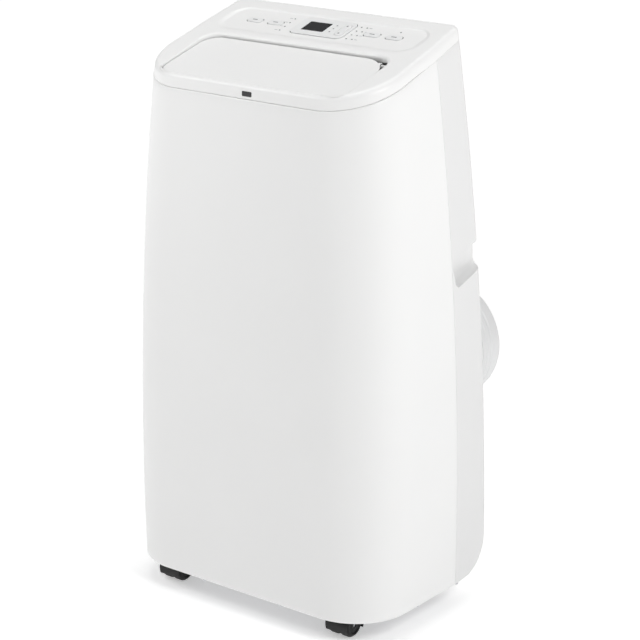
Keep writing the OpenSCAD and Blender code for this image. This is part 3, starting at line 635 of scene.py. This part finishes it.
def rear_columns():
    """Columns of the rear cover's right half, from the middle of the rear to the seam."""
    half = run("rear", 16, True) + run("rear_corner", 8, True) + run("rear_side", 10, True)
    return half + seam_columns("rear_side", 0, -1)


grip = {"z": 0.421, "h": 0.034, "depth": 0.016, "tilt": math.radians(16)}


def grip_tool(side, grow):
    """The slanted grip pocket as a rounded block, from just behind the seam out through the rear."""
    start = seam_y(grip["z"]) + 0.004 - grow
    length = rear_end
    turn = Matrix.Rotation(grip["tilt"], 3, "X")
    x = side * (half_width(grip["z"]) - grip["depth"] / 2 + 0.012 - grow / 2)
    middle = Vector((x, start, grip["z"] - 0.004)) + turn @ Vector((0, length / 2, 0))
    skin = Skin()
    size = Vector((grip["depth"] + 0.024 + grow, length, grip["h"] + 2 * grow))
    add_box(skin, size, middle, turn, 0.007 + grow)
    return loose("grip_tool", skin)


def tube_tool(x, z, y0, y1, r, edge=0.0):
    """A round bar along y, with its far edge rolled where edge is given."""
    skin = Skin()
    profile = [(r, 0), (r, y1 - y0)]
    if edge:
        profile = [(r, 0), *rolled([(r, 0), (r, y1 - y0), (0, y1 - y0)], edge)[1:-1]]
    lathe(skin, profile, (x, y0, z), (0, 1, 0), 96)
    return loose("tube_tool", skin)


def solid_body(low, high):
    """The body's own solid between two heights, with no wall, for trimming what sticks out of it."""
    skin = Skin()
    columns = [("front", k / 4) for k in range(5)] + [("corner", k / 12) for k in range(1, 13)]
    columns += [("side", 1), ("rear_side", 0.5)]
    columns += [("rear_corner", k / 8) for k in range(9)] + [("rear", 0.5)]
    loops = []
    for k in range(9):
        z = low + (high - low) * k / 8
        right = [outline(part, t, z, 0) for part, t in columns]
        back = [(0, rear_y(z))]
        left = [(-x, y) for x, y in right[:0:-1]]
        loops.append([(x, y, z) for x, y in right + back + left])
    made = skin.rings(loops)
    skin.cap(made[0])
    skin.cap(made[-1])
    return loose("solid_body", skin)


seat_span = (0.04, 0.14)
hole_span = (0.05, 0.14)
seat_wall = 0.004
hole_gap = 0.0003


def rear_cover():
    """The rear shell with its grip cups, collar seat and the holes of the rear fittings."""
    made = loose("rear_cover_skin", shell_skin(both_sides(rear_columns()), 56, 12))
    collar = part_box("exhaust_collar")
    centre_x, _, centre_z = middle_of("exhaust_collar")
    seat_y = collar[0].y + 0.010
    seat_r = (collar[1].x - collar[0].x) / 2 - seat_wall
    for side in (-1, 1):
        liner = grip_tool(side, wall)
        combine(liner, solid_body(0.30, 0.56), "INTERSECT")
        combine(made, liner, "UNION")
    start_y = rear_y(centre_z) - 0.004
    ring = tube_tool(centre_x, centre_z, start_y, seat_y, seat_r + seat_wall, 0.0015)
    combine(made, ring, "UNION")
    for side in (-1, 1):
        combine(made, grip_tool(side, 0), "DIFFERENCE")
    combine(made, tube_tool(centre_x, centre_z, *seat_span, seat_r), "DIFFERENCE")
    for name in ("upper_grille", "lower_grille"):
        low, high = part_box(name)
        skin = Skin()
        gap = 0.0006
        size = Vector((high.x - low.x + 2 * gap, 0.030, (high.z - low.z) / math.cos(rear_tilt) + 2 * gap))
        add_box(skin, size, middle_of(name), Matrix.Rotation(rear_tilt, 3, "X"), 0)
        combine(made, loose("grille_tool", skin), "DIFFERENCE")
    for name in ("lower_drain_plug", "upper_drain_plug", "cord_gland"):
        low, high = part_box(name)
        r = (high.z - low.z) / 2 - seat_wall + hole_gap
        middle = middle_of(name)
        combine(made, tube_tool(middle.x, middle.z, *hole_span, r), "DIFFERENCE")
    edge = made.modifiers.new("edge", "BEVEL")
    edge.width = 0.0005
    edge.segments = 2
    edge.limit_method = "ANGLE"
    edge.angle_limit = math.radians(55)
    bake(made)
    # the rear cover takes the darker copy of the shell's white, painted shade
    return finish(made, "cabinet", "shell", ["rear_cover", "grip_cups"], look="rear_shell")


# ---------------------------------------------------------------- top cover

top_wall = 0.003
hinge = Vector(joints["flap_hinge"]["pos_m"])
hinge_s = slope_place(hinge)
hinge_drop = -(Matrix.Rotation(-top_tilt, 3, "X") @ (hinge - on_top(0, 0, 0))).z
flap_low, flap_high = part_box("louver_flap")
flap_half_w = 0.133
flap_front = 0.008
flap_back = 0.106
flap_gap = 0.0015
opening = plate_loop(flap_half_w + flap_gap, flap_front - flap_gap, flap_back + 0.003, 0.017, 0.022, 12)
opening_depth = 0.006
opening_rear_depth = 0.0085
flange_t = 0.0018
deck_s = (0.119, 0.182)
deck_depth = 0.0016
deck = plate_loop(0.146, deck_s[0], deck_s[1], 0.026, 0.026, 12)
panel_s = 0.1555
bezel_half = (0.038, 0.0205)
dark_gap = 0.0008
button_size = (0.022, 0.010)
buttons = {"swing_button": -0.101, "speed_button": -0.070, "mode_button": 0.070, "power_button": 0.101}
light_r = 0.0011
dot_x = 0.0145
dot_pitch = 0.008


def button_s(name):
    return panel_s - (0.002 if buttons[name] < 0 else 0)


def light_spots():
    """Places of the small lights on the deck, outside the display's bezel."""
    spots = [(-0.052, panel_s + 0.013 - 0.0103 * row) for row in range(4)]
    spots += [(0.045 + 0.008 * column, panel_s + 0.014 - 0.0102 * row)
              for row in range(4) for column in range(2)]
    return spots + [(0.101, panel_s + 0.014)]


def circle_loop(r, steps=20):
    return lambda inset: [((r - inset) * math.cos(2 * math.pi * k / steps),
                           (r - inset) * math.sin(2 * math.pi * k / steps)) for k in range(steps)]


def rim_columns():
    """Columns right round the body, from the middle of the front over the right side."""
    right = run("front", 12) + run("corner", 24) + run("side", 16) + run("rear_side", 14)
    right += run("rear_corner", 8) + run("rear", 12) + [("rear", 1, 0, 0)]
    return [(*column, 1) for column in right] + [(*column, -1) for column in right[-2:0:-1]]


def shoulder(column):
    """Width of the rounded edge between the side walls and the top."""
    part, t = column[:2]
    if part == "front":
        return 0.0032
    if part == "corner":
        return 0.0032 + 0.0040 * smooth(t, 0, 0.8)
    return 0.0072 if part in ("side", "rear_side") else 0.0060


def rim_point(column, inset, drop):
    """The point of a column, moved in by inset, that lies drop under the sloped top."""
    part, t, offset, _, side = column
    z = crease_height((part, t, offset, inset), rim_h, drop)
    x, y = along_seam(part, t, offset, z, inset)
    return Vector((side * x, y, z))


def wall_point(column, inset, z):
    part, t, offset, _, side = column
    x, y = along_seam(part, t, offset, z, inset)
    return Vector((side * x, y, z))


def skirt_profile(column):
    """Points of one column from the inside of its bottom edge up over the shoulder onto the top."""
    bottom = rim_point(column, 0, split_drop)
    front = front_weight(bottom)
    step = crease_step * front
    turn = back_roll + (0.0010 - back_roll) * front
    low = bottom.z + crease_gap + slit_open * slit_weight(bottom)
    points = [wall_point(column, wall, low)]
    points += [wall_point(column, step + inset, low + turn - past)
               for past, inset in roll(turn, reverse=True)]
    width = shoulder(column)
    edge = rim_point(column, step, 0)
    top = edge.z - width
    points += [wall_point(column, step, low + turn + (top - low - turn) * k / 6) for k in range(1, 7)]
    first = points[-1]
    last = rim_point(column, width, 0)
    for k in range(1, 9):
        t = k / 8
        bend = 0.8 * 2 * t * (1 - t)
        total = (1 - t) ** 2 + bend + t ** 2
        points.append((first * (1 - t) ** 2 + edge * bend + last * t ** 2) / total)
    points.append(rim_point(column, width + 0.0006, 0))
    return points


def hole(skin, loop, place, top, bottom, edge, ring=0.0005, steps=3):
    """The rolled wall of a hole through a flat face. Returns its upper and its lower ring."""
    profile = [(edge + ring, 0), *quarter(edge, steps)]
    made = skin.rings([[place(x, y, top - down) for x, y in loop(-out)] for out, down in profile]
                      + [[place(x, y, bottom) for x, y in loop(0)]])
    return made[0], made[-1]


def opening_edge(s):
    """Radius of the opening's rolled edge: small at its front, large at its rear."""
    return 0.0009 + 0.0036 * smooth(s, flap_front + 0.05, flap_back)


def opening_rings(skin):
    """The flap's opening: rolled edge, flange and underside. Returns its top and bottom rings."""
    inside = opening(0)
    outside = opening(-0.001)
    ways = [((ox - x) * 1000, (oy - y) * 1000) for (x, y), (ox, oy) in zip(inside, outside)]
    loops = []
    spots = list(zip(inside, ways))
    for k in range(-1, 7):
        angle = math.radians(90 * max(k, 0) / 6)
        loop = []
        for (x, y), (wx, wy) in spots:
            r = opening_edge(y)
            out = r * (1 - math.sin(angle)) + (0.0004 if k < 0 else 0)
            loop.append(on_top(x + wx * out, y + wy * out, -r * (1 - math.cos(angle))))
        loops.append(loop)
    for out, up in ((0, 0.0004), (0.0004, 0), (flange_t, 0), (flange_t, None)):
        loop = []
        for (x, y), (wx, wy) in spots:
            deeper = smooth(y, flap_back - 0.001, flap_back + 0.002)
            low = opening_depth + (opening_rear_depth - opening_depth) * deeper
            depth = top_wall if up is None else low - up
            loop.append(on_top(x + wx * out, y + wy * out, -depth))
        loops.append(loop)
    made = skin.rings(loops)
    return made[0], made[-1]


def deck_rings(skin):
    """The sunk deck's soft border. Returns its outer ring and its floor ring."""
    outside = deck(0)
    inside = deck(0.001)
    loops = [[on_top(x, y, 0) for x, y in deck(-0.0006)]]
    for k in range(9):
        t = k / 8
        loop = []
        for (x, y), (ix, iy) in zip(outside, inside):
            width = 0.009 - 0.0062 * smooth(y, panel_s, deck_s[1])
            into = 1000 * width * t
            loop.append(on_top(x + (ix - x) * into, y + (iy - y) * into, -deck_depth * smooth(t, 0, 1)))
        loops.append(loop)
    made = skin.rings(loops)
    return made[0], made[-1]


def top_cover():
    skin = Skin()
    columns = rim_columns()
    profiles = [skirt_profile(column) for column in columns]
    outer = skin.rings([list(points) for points in zip(*profiles)])
    inner = skin.ring([rim_point(column, wall, top_wall) for column in columns])
    skin.strip(outer[0], inner)
    opening_top, opening_low = opening_rings(skin)
    deck_top, deck_floor = deck_rings(skin)
    skin.fill(outer[-1], [opening_top, deck_top])
    half_w, half_h = button_size[0] / 2 + dark_gap, button_size[1] / 2 + dark_gap
    holes = [pill(0, panel_s, bezel_half[0] + dark_gap, bezel_half[1] + dark_gap, 0.0087)]
    holes += [pill(x, button_s(name), half_w, half_h, 0.0053) for name, x in buttons.items()]
    holes += [moved(circle_loop(light_r + 0.0001), x, s) for x, s in light_spots()]
    made = [hole(skin, loop, on_top, -deck_depth, -top_wall, 0.0003, 0.0004) for loop in holes]
    skin.fill(deck_floor, [high for high, _ in made])
    skin.fill(inner, [opening_low] + [low for _, low in made])
    for side in (-1, 1):
        add_box(skin, (0.003, 0.012, 0.0115), on_top(side * 0.1395, hinge_s, -0.0082), top_turn, 0.0006)
    return piece("top_cover_skin", skin, "cabinet", "shell", ["top_cover"], weighted=True)


# ---------------------------------------------------------------- flap and control deck

def flap_depth(s):
    """How deep the flap's face lies: nearly flush at the front, lower at the hinge."""
    return 0.0009 + 0.0027 * (s - flap_front) / (flap_back - flap_front)


def louver_flap():
    skin = Skin()
    left = plate_loop(flap_half_w, flap_front, flap_back, 0.016, 0.022, 12)
    right = plate_loop(flap_half_w, flap_front, flap_back, 0.016, 0.036, 12)

    def loop(inset):
        return [r if r[0] > 0 else l for l, r in zip(left(inset), right(inset))]

    def place(x, s, depth, inset):
        return on_top(x, s, depth - flap_depth(s) - 0.0005 * smooth(inset, 0, 0.040) * (depth > -0.0001))

    insets = (0.0016, 0.004, 0.010, 0.018, 0.028, 0.040, 0.046)
    rounded_slab(skin, loop, place, 0.0025, 0.0011, insets, 0.0006)
    arm_x = flap_half_w - 0.0145
    reaches = {-1: -flap_low.x, 1: flap_high.x}
    for side in (-1, 1):
        arm_at = on_top(side * arm_x, hinge_s - 0.001, -0.0075)
        add_box(skin, (0.005, 0.008, 0.0045), arm_at, top_turn, 0.0006)
        centre = on_top(side * arm_x, hinge_s, -hinge_drop)
        add_bar(skin, 0.004, -0.0025, 0.0025, centre, (1, 0, 0), 0.0005, 40)
        add_bar(skin, 0.0025, 0, reaches[side] - arm_x, centre, (side, 0, 0), 0.0004, 32)
    for x in (-0.08, 0, 0.08):
        add_box(skin, (0.0012, 0.070, 0.003), on_top(x, 0.052, -0.0056), top_turn, 0.0004)
    return piece("louver_flap_skin", skin, "flap", "shell", ["louver_flap"])


def holed_plate(skin, outer, holes, place, top, bottom, edge, hole_edge, ring=0.0005, steps=3):
    """A flat plate with a rolled front edge and rolled holes."""
    profile = [(0, bottom)]
    profile += [(inset, top - down) for down, inset in quarter(edge, steps)]
    profile.append((edge + ring, top))
    rings = skin.rings([[place(x, y, d) for x, y in outer(inset)] for inset, d in profile])
    made = [hole(skin, loop, place, top, bottom, hole_edge, ring, steps) for loop in holes]
    return rings[-1], rings[0], made


def display_bezel():
    skin = Skin()
    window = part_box("display_window")
    window_x = middle_of("display_window").x
    window_half = (window[1].x - window[0].x) / 2
    rocker_x = middle_of("temp_rocker").x
    outer = pill(0, panel_s, *bezel_half, 0.008)
    window_hole = pill(window_x, panel_s, window_half + 0.0002, 0.0112, 0.0014, 4)
    rocker_hole = pill(rocker_x, panel_s, 0.0054, 0.0144, 0.0053)
    dots = [moved(circle_loop(light_r), dot_x, panel_s + dot_pitch * row) for row in (-1, 0, 1)]
    face, back, holes = holed_plate(skin, outer, [window_hole, rocker_hole, *dots], on_top,
                                    -0.0004, -0.0040, 0.0006, 0.0003)
    skin.fill(face, [high for high, _ in holes])
    skin.fill(back, [low for _, low in holes])
    piece("display_bezel_plate", skin, "cabinet", "trim", ["display_bezel"], weighted=True)
    glass = Skin()
    loop = pill(window_x, panel_s, window_half, 0.011, 0.0012, 4)
    rounded_slab(glass, loop, lambda x, s, d, inset: on_top(x, s, d - 0.0007), 0.002, 0.0003, (0.0008,))
    piece("display_glass", glass, "cabinet", "window", ["display_window"])
    return rocker_x


def print_mark(name, loops, place, body, slot, height=0.00008):
    """Thin raised print: one flat patch for each loop."""
    skin = Skin()
    for loop in loops:
        base = skin.ring([place(x, y, -0.0002) for x, y in loop])
        face = skin.ring([place(x, y, height) for x, y in loop])
        skin.strip(base, face)
        skin.fill(face)
        skin.fill(base)
    return piece(name, skin, body, slot)


def rocker(rocker_x):
    skin = Skin()
    loop = pill(rocker_x, panel_s, 0.0048, 0.0138, 0.0047)

    def face(x, s, d):
        middle = 1 - ((s - panel_s) / 0.0138) ** 2
        return on_top(x, s, d + 0.0002 - 0.0006 * max(middle, 0))

    rounded_slab(skin, loop, lambda x, s, d, inset: face(x, s, d), 0.0048, 0.0007,
                 (0.0010, 0.0020, 0.0032, 0.0042), 0.0003)
    lathe(skin, [(0.001, -0.0073), (0.001, 0.0073)], on_top(rocker_x, panel_s, -0.0038), (1, 0, 0), 20)
    piece("temp_rocker_cap", skin, "rocker", "trim", ["temp_rocker"])
    marks = []
    for way in (-1, 1):
        s = panel_s + way * 0.0092
        marks.append([(rocker_x - 0.0017, s - way * 0.0010), (rocker_x + 0.0017, s - way * 0.0010),
                      (rocker_x, s + way * 0.0016)])
    print_mark("temp_rocker_marks", marks, face, "rocker", "ink")


def button_gap_shade():
    """Dark rubber sheets set deep in the gaps round the buttons, the rocker and the display's bezel: painted shade
    that darkens the gap outlines.
    """
    skin = Skin()
    sizes = [(x, button_s(name), *button_size, 0.005) for name, x in buttons.items()]
    sizes.append((0, panel_s, 2 * bezel_half[0], 2 * bezel_half[1], 0.0085))
    for x, s, w, h, r in sizes:
        shape = pill(x, s, w / 2, h / 2, r)
        # the dark sheet at the bottom of each gap is painted shade
        skin.rings([[on_top(px, ps, -deck_depth - down) for px, ps in shape(inset)]
                    for inset, down in ((-dark_gap, 0.0006), (-0.0001, 0.0006), (-0.0001, 0.0012),
                                        (-dark_gap, 0.0012), (-dark_gap, 0.0006))])
    piece("button_gap_shade", skin, "cabinet", "rubber")


def push_buttons():
    half_w, half_d = button_size[0] / 2, button_size[1] / 2
    for name, x in buttons.items():
        s = button_s(name)
        skin = Skin()
        loop = pill(x, s, half_w, half_d, 0.0046)

        def face(px, ps, d):
            crown = 1 - ((px - x) / half_w) ** 2
            return on_top(px, ps, d - 0.0010 + 0.0003 * max(crown, 0))

        rounded_slab(skin, loop, lambda px, ps, d, inset: face(px, ps, d), 0.0044, 0.0008,
                     (0.0012, 0.0022, 0.0034, 0.0044), 0.0003)
        add_box(skin, (0.025, 0.013, 0.0008), on_top(x, s, -0.0050), top_turn, 0.0003)
        piece(name + "_cap", skin, name, "trim", [name])
        dash = pill(x, s, 0.0036, 0.0006, 0.0005, 3)
        print_mark(name + "_mark", [dash(0)], face, name, "ink")


def lights():
    skin = Skin()
    dome = rolled([(0, 0), (0.0010, 0), (0.0010, 0.0024), (0, 0.0026)], 0.0003)
    base = -deck_depth - 0.0022
    upright = on_top(0, 0, 1) - on_top(0, 0, 0)
    for x, s in light_spots():
        lathe(skin, dome, on_top(x, s, base), upright, 20)
    for row in (-1, 0, 1):
        lathe(skin, dome, on_top(dot_x, panel_s + dot_pitch * row, base + 0.0012), upright, 20)
    piece("indicator_light_pipes", skin, "cabinet", "light", ["indicator_lights"])
    marks = []
    for row in range(4):
        for x, s in ((-0.0575, panel_s + 0.013 - 0.0103 * row), (0.0585, panel_s + 0.014 - 0.0102 * row)):
            marks.append(pill(x, s, 0.0022, 0.0004, 0.0003, 2)(0))
    print_mark("deck_marks", marks, lambda x, s, d: on_top(x, s, d - deck_depth), "cabinet", "glyph")


def remote_window():
    low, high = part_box("ir_window")
    x, _, z = middle_of("ir_window")
    loop = pill(x, z, (high.x - low.x) / 2, (high.z - low.z) / 2, 0.0012, 4)
    skin = Skin()

    def place(px, pz, d, inset):
        return Vector((px, front_y(pz) + crease_step - 0.0003 - d, pz))

    rounded_slab(skin, loop, place, 0.002, 0.0004, (0.0010,))
    piece("remote_window_lens", skin, "cabinet", "window", ["ir_window"])


# ---------------------------------------------------------------- rear fittings

def exhaust_collar():
    low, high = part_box("exhaust_collar")
    centre = Vector(((low.x + high.x) / 2, low.y, (low.z + high.z) / 2))
    flange_r = (high.x - low.x) / 2
    length = high.y - low.y
    seat_r = flange_r - seat_wall - 0.0002
    tube_r = frame_radius("exhaust_collar")
    inner_r = tube_r - 0.003
    flange = (0.0102, 0.0132)
    outline_points = [(inner_r, 0), (seat_r, 0), (seat_r, flange[0]), (flange_r, flange[0]),
                      (flange_r, flange[1]), (tube_r, flange[1])]
    for k in range(2):
        ridge = flange[1] + 0.012 + 0.010 * k
        outline_points += [(tube_r, ridge), (tube_r - 0.0008, ridge + 0.0010),
                           (tube_r - 0.0008, ridge + 0.0030), (tube_r, ridge + 0.0040)]
    outline_points += [(tube_r, length), (inner_r, length)]
    skin = Skin()
    lathe(skin, rolled(outline_points, 0.0010), centre, (0, 1, 0), 128, closed=True)
    for k in range(4):
        angle = math.radians(45 + 90 * k)
        turn = Matrix.Rotation(-angle, 3, "Y")
        spot = centre + Vector(((flange_r - 0.003) * math.cos(angle), flange[1] + 0.0012,
                                (flange_r - 0.003) * math.sin(angle)))
        add_box(skin, (0.005, 0.003, 0.016), spot, turn, 0.0008)
    piece("exhaust_collar_ring", skin, "collar", "collar", ["exhaust_collar"])


def frame_radius(mount_name):
    """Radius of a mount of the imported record, in metres."""
    mount = next(m for m in frame["record"]["mounts"] if m["name"] == mount_name)
    return mount["dims"]["r_mm"] / 1000


def grille(name, columns):
    """A snap-in intake panel: a frame with posts, and curved slats between them."""
    low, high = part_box(name)
    t = 0.0026
    x_mid = (low.x + high.x) / 2
    half_w = (high.x - low.x) / 2
    z_low = low.z / math.cos(rear_tilt)
    z_high = high.z / math.cos(rear_tilt)
    band, post, pitch = 0.009, 0.006, 0.009
    skin = Skin()
    outer = moved(plate_loop(half_w, z_low, z_high, 0.003, 0.003, 4), x_mid, 0)
    column_w = (2 * half_w - 2 * band - (columns - 1) * post) / columns
    slots = []
    for column in range(columns):
        x = x_mid - half_w + band + column_w / 2 + column * (column_w + post)
        slots.append(moved(plate_loop(column_w / 2, z_low + band, z_high - band, 0.002, 0.002, 4), x, 0))
    face, back, holes = holed_plate(skin, outer, slots, on_rear, 0.0005, -t, 0.0008, 0.0006)
    skin.fill(face, [top for top, _ in holes], (0, 2))
    skin.fill(back, [bottom for _, bottom in holes], (0, 2))
    rows = int((z_high - z_low - 2 * band) / pitch)
    start = (z_low + z_high - (rows - 1) * pitch) / 2
    lean = Matrix.Rotation(rear_tilt - math.radians(28), 3, "X")
    for column in range(columns):
        x = x_mid - half_w + band + column_w / 2 + column * (column_w + post)
        for row in range(rows):
            middle = on_rear(x, start + row * pitch, -t / 2 + 0.0003)
            add_box(skin, (column_w + 0.002, 0.0015, 0.0050), middle, lean, 0.0006)
    return piece(name + "_panel", skin, name, "shell", [name], weighted=True)


# ---------------------------------------------------------------- casters

corners = ("front_left", "front_right", "rear_left", "rear_right")


def caster(corner):
    """A twin-wheel caster's body: hood, middle web, neck, stem and shoulder."""
    name = "caster_" + corner
    stem_at = Vector(joints["swivel_" + corner]["pos_m"])
    axle_at = Vector(joints["roll_" + corner]["pos_m"])
    wheel_r = axle_at.z
    low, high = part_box(name)
    half = (high.x - low.x) / 2
    hood_r = wheel_r + 0.0026
    clear_r = wheel_r + 0.0008
    skin = Skin()
    section = rolled([(-half, hood_r - 0.0004), (half, hood_r - 0.0004), (half, clear_r), (-half, clear_r),
                      (-half, hood_r - 0.0004), (half, hood_r - 0.0004)], 0.0008)[4:-4]
    loops = []
    for k in range(41):
        angle = math.radians(-26 + 232 * k / 40)
        loops.append([axle_at + Vector((x, r * math.cos(angle), r * math.sin(angle)))
                      for x, r in section])
    made = skin.rings(loops)
    skin.cap(made[0])
    skin.cap(made[-1])
    add_bar(skin, wheel_r - 0.002, -0.0025, 0.0025, axle_at, (1, 0, 0), 0.0004, 64)
    add_box(skin, (0.005, 0.020, wheel_r * 0.6), axle_at + Vector((0, 0, wheel_r * 0.8)), edge=0.0005)
    add_bar(skin, 0.005, 0, high.z - wheel_r, (stem_at.x, stem_at.y, wheel_r), (0, 0, 1), 0.0006, 40)
    shoulder_profile = rolled([(0, 0), (0.0085, 0), (0.0065, 0.0026), (0, 0.0026)], 0.0005)
    shoulder_z = wheel_r + hood_r - wheel_r * 0.16 - 0.0008
    lathe(skin, shoulder_profile, (stem_at.x, stem_at.y, shoulder_z), (0, 0, 1), 40)
    piece(name + "_body", skin, name, "caster", [name])


def wheels(corner):
    """The two wheels of one caster, as one piece on one axle."""
    name = "wheels_" + corner
    axle_at = Vector(joints["roll_" + corner]["pos_m"])
    wheel_r = axle_at.z
    low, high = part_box(name)
    inner = 0.0029
    width = (high.x - low.x) / 2 - inner
    skin = Skin()
    for side in (-1, 1):
        profile = [(0.0025, 0), (wheel_r - 0.0012, 0), (wheel_r, 0.0012), (wheel_r, width - 0.0030),
                   (wheel_r - 0.0026, width), (wheel_r - 0.0048, width), (wheel_r - 0.0054, width - 0.0010),
                   (0.0060, width - 0.0010), (0.0052, width), (0.0025, width)]
        start = axle_at + Vector((side * inner, 0, 0))
        lathe(skin, rolled(profile, 0.0006), start, (side, 0, 0), 72, closed=True)
    piece(name + "_pair", skin, name, "wheel", [name])


# ---------------------------------------------------------------- CAD nodes that stay

def soften(node, width):
    """Rolls the sharp edges of a CAD node that stays, and smooths its round faces."""
    made = frame["nodes"][node]
    weld = made.modifiers.new("weld", "WELD")
    weld.merge_threshold = 0.00001
    edge = made.modifiers.new("edge", "BEVEL")
    edge.width = width
    edge.segments = 2
    edge.limit_method = "ANGLE"
    edge.angle_limit = math.radians(40)
    turn = made.modifiers.new("weighted", "WEIGHTED_NORMAL")
    turn.keep_sharp = True


def finish_cad_nodes():
    for node, made in frame["nodes"].items():
        made.data.materials.clear()
        made.data.materials.append(materials[node_slot[node]])
    for k in range(1, 6):
        soften(f"vane_{k}", 0.0004)
    for node in ("vane_link", "flap_motor", "electrical_box", "run_capacitor", "control_board",
                 "cord_gland", "lower_drain_plug", "upper_drain_plug", "evaporator_motor",
                 "condenser_motor", "compressor"):
        soften(node, 0.0005)


# ---------------------------------------------------------------- floor, light and camera

floor_glow = (0.43, 0.85)
floor_reach = (0.4, 3.0)
sky_strength = 0.20
lamps = (("overhead", (-0.2, 0.3, 2.6), 1.6, 18), ("right", (1.6, -0.2, 1.5), 0.7, 15),
         ("left", (-0.7, -0.80, 1.2), 0.5, 5.2))


def hold(name, data, place, away):
    """Puts a light or a camera at a place, with its back to the direction away."""
    held = bpy.data.objects.new(name, data)
    held.location = place
    held.rotation_euler = (-away).to_track_quat("-Z", "Y").to_euler()
    bpy.context.scene.collection.objects.link(held)
    return held


def studio():
    """A white floor that glows more with distance, a dim sky, and three area lamps."""
    skin = Skin()
    reach = 9.0
    skin.faces.append(tuple(skin.ring([(-reach, -reach, 0), (reach, -reach, 0), (reach, reach, 0),
                                       (-reach, reach, 0)])))
    floor = loose("floor", skin)
    made, tree, bsdf = shader("floor")
    tone = spread(tree, noise(tree, 1.5), 0, 1)
    tree.links.new(two_tone(tree, tone, (0.93, 0.93, 0.93), (0.91, 0.91, 0.91)), bsdf.inputs["Base Color"])
    put(bsdf, {"Roughness": 0.9, "Specular IOR Level": 0.0, "Emission Color": (1, 1, 1, 1)})
    place = tree.nodes.new("ShaderNodeTexCoord")
    away = tree.nodes.new("ShaderNodeVectorMath")
    away.operation = "LENGTH"
    tree.links.new(place.outputs["Object"], away.inputs[0])
    glow = spread(tree, away.outputs["Value"], *floor_glow, *floor_reach)
    tree.links.new(glow, bsdf.inputs["Emission Strength"])
    floor.data.materials.append(made)

    world = bpy.data.worlds.new("studio")
    bpy.context.scene.world = world
    world.use_nodes = True
    put(world.node_tree.nodes["Background"], {"Color": (1, 1, 1, 1), "Strength": sky_strength})

    aim = Vector((0, 0, body_h * 0.45))
    for name, place, size, power in lamps:
        lamp = bpy.data.lights.new(name, "AREA")
        lamp.size = size
        lamp.energy = power
        hold(name, lamp, place, Vector(place) - aim)


def camera():
    yaw = math.radians(37.96)
    pitch = math.radians(17.11)
    distance = 2.6255
    target = Vector((0, 0.014, body_h / 2))
    away = Vector((math.sin(yaw) * math.cos(pitch), -math.cos(yaw) * math.cos(pitch), math.sin(pitch)))
    lens = bpy.data.cameras.new("camera")
    lens.lens = 122.75
    lens.sensor_width = 36
    lens.shift_x = -0.001
    lens.shift_y = -0.0239
    bpy.context.scene.camera = hold("camera", lens, target + away * distance, away)


camera()
studio()
bpy.context.scene.view_settings.view_transform = "Standard"
finish_cad_nodes()
front_shell()
rear_cover()
top_cover()
louver_flap()
rocker(display_bezel())
push_buttons()
# dark sheets in the deck's gaps, painted shade
button_gap_shade()
lights()
remote_window()
exhaust_collar()
grille("upper_grille", 3)
grille("lower_grille", 2)
for corner in corners:
    caster(corner)
    wheels(corner)
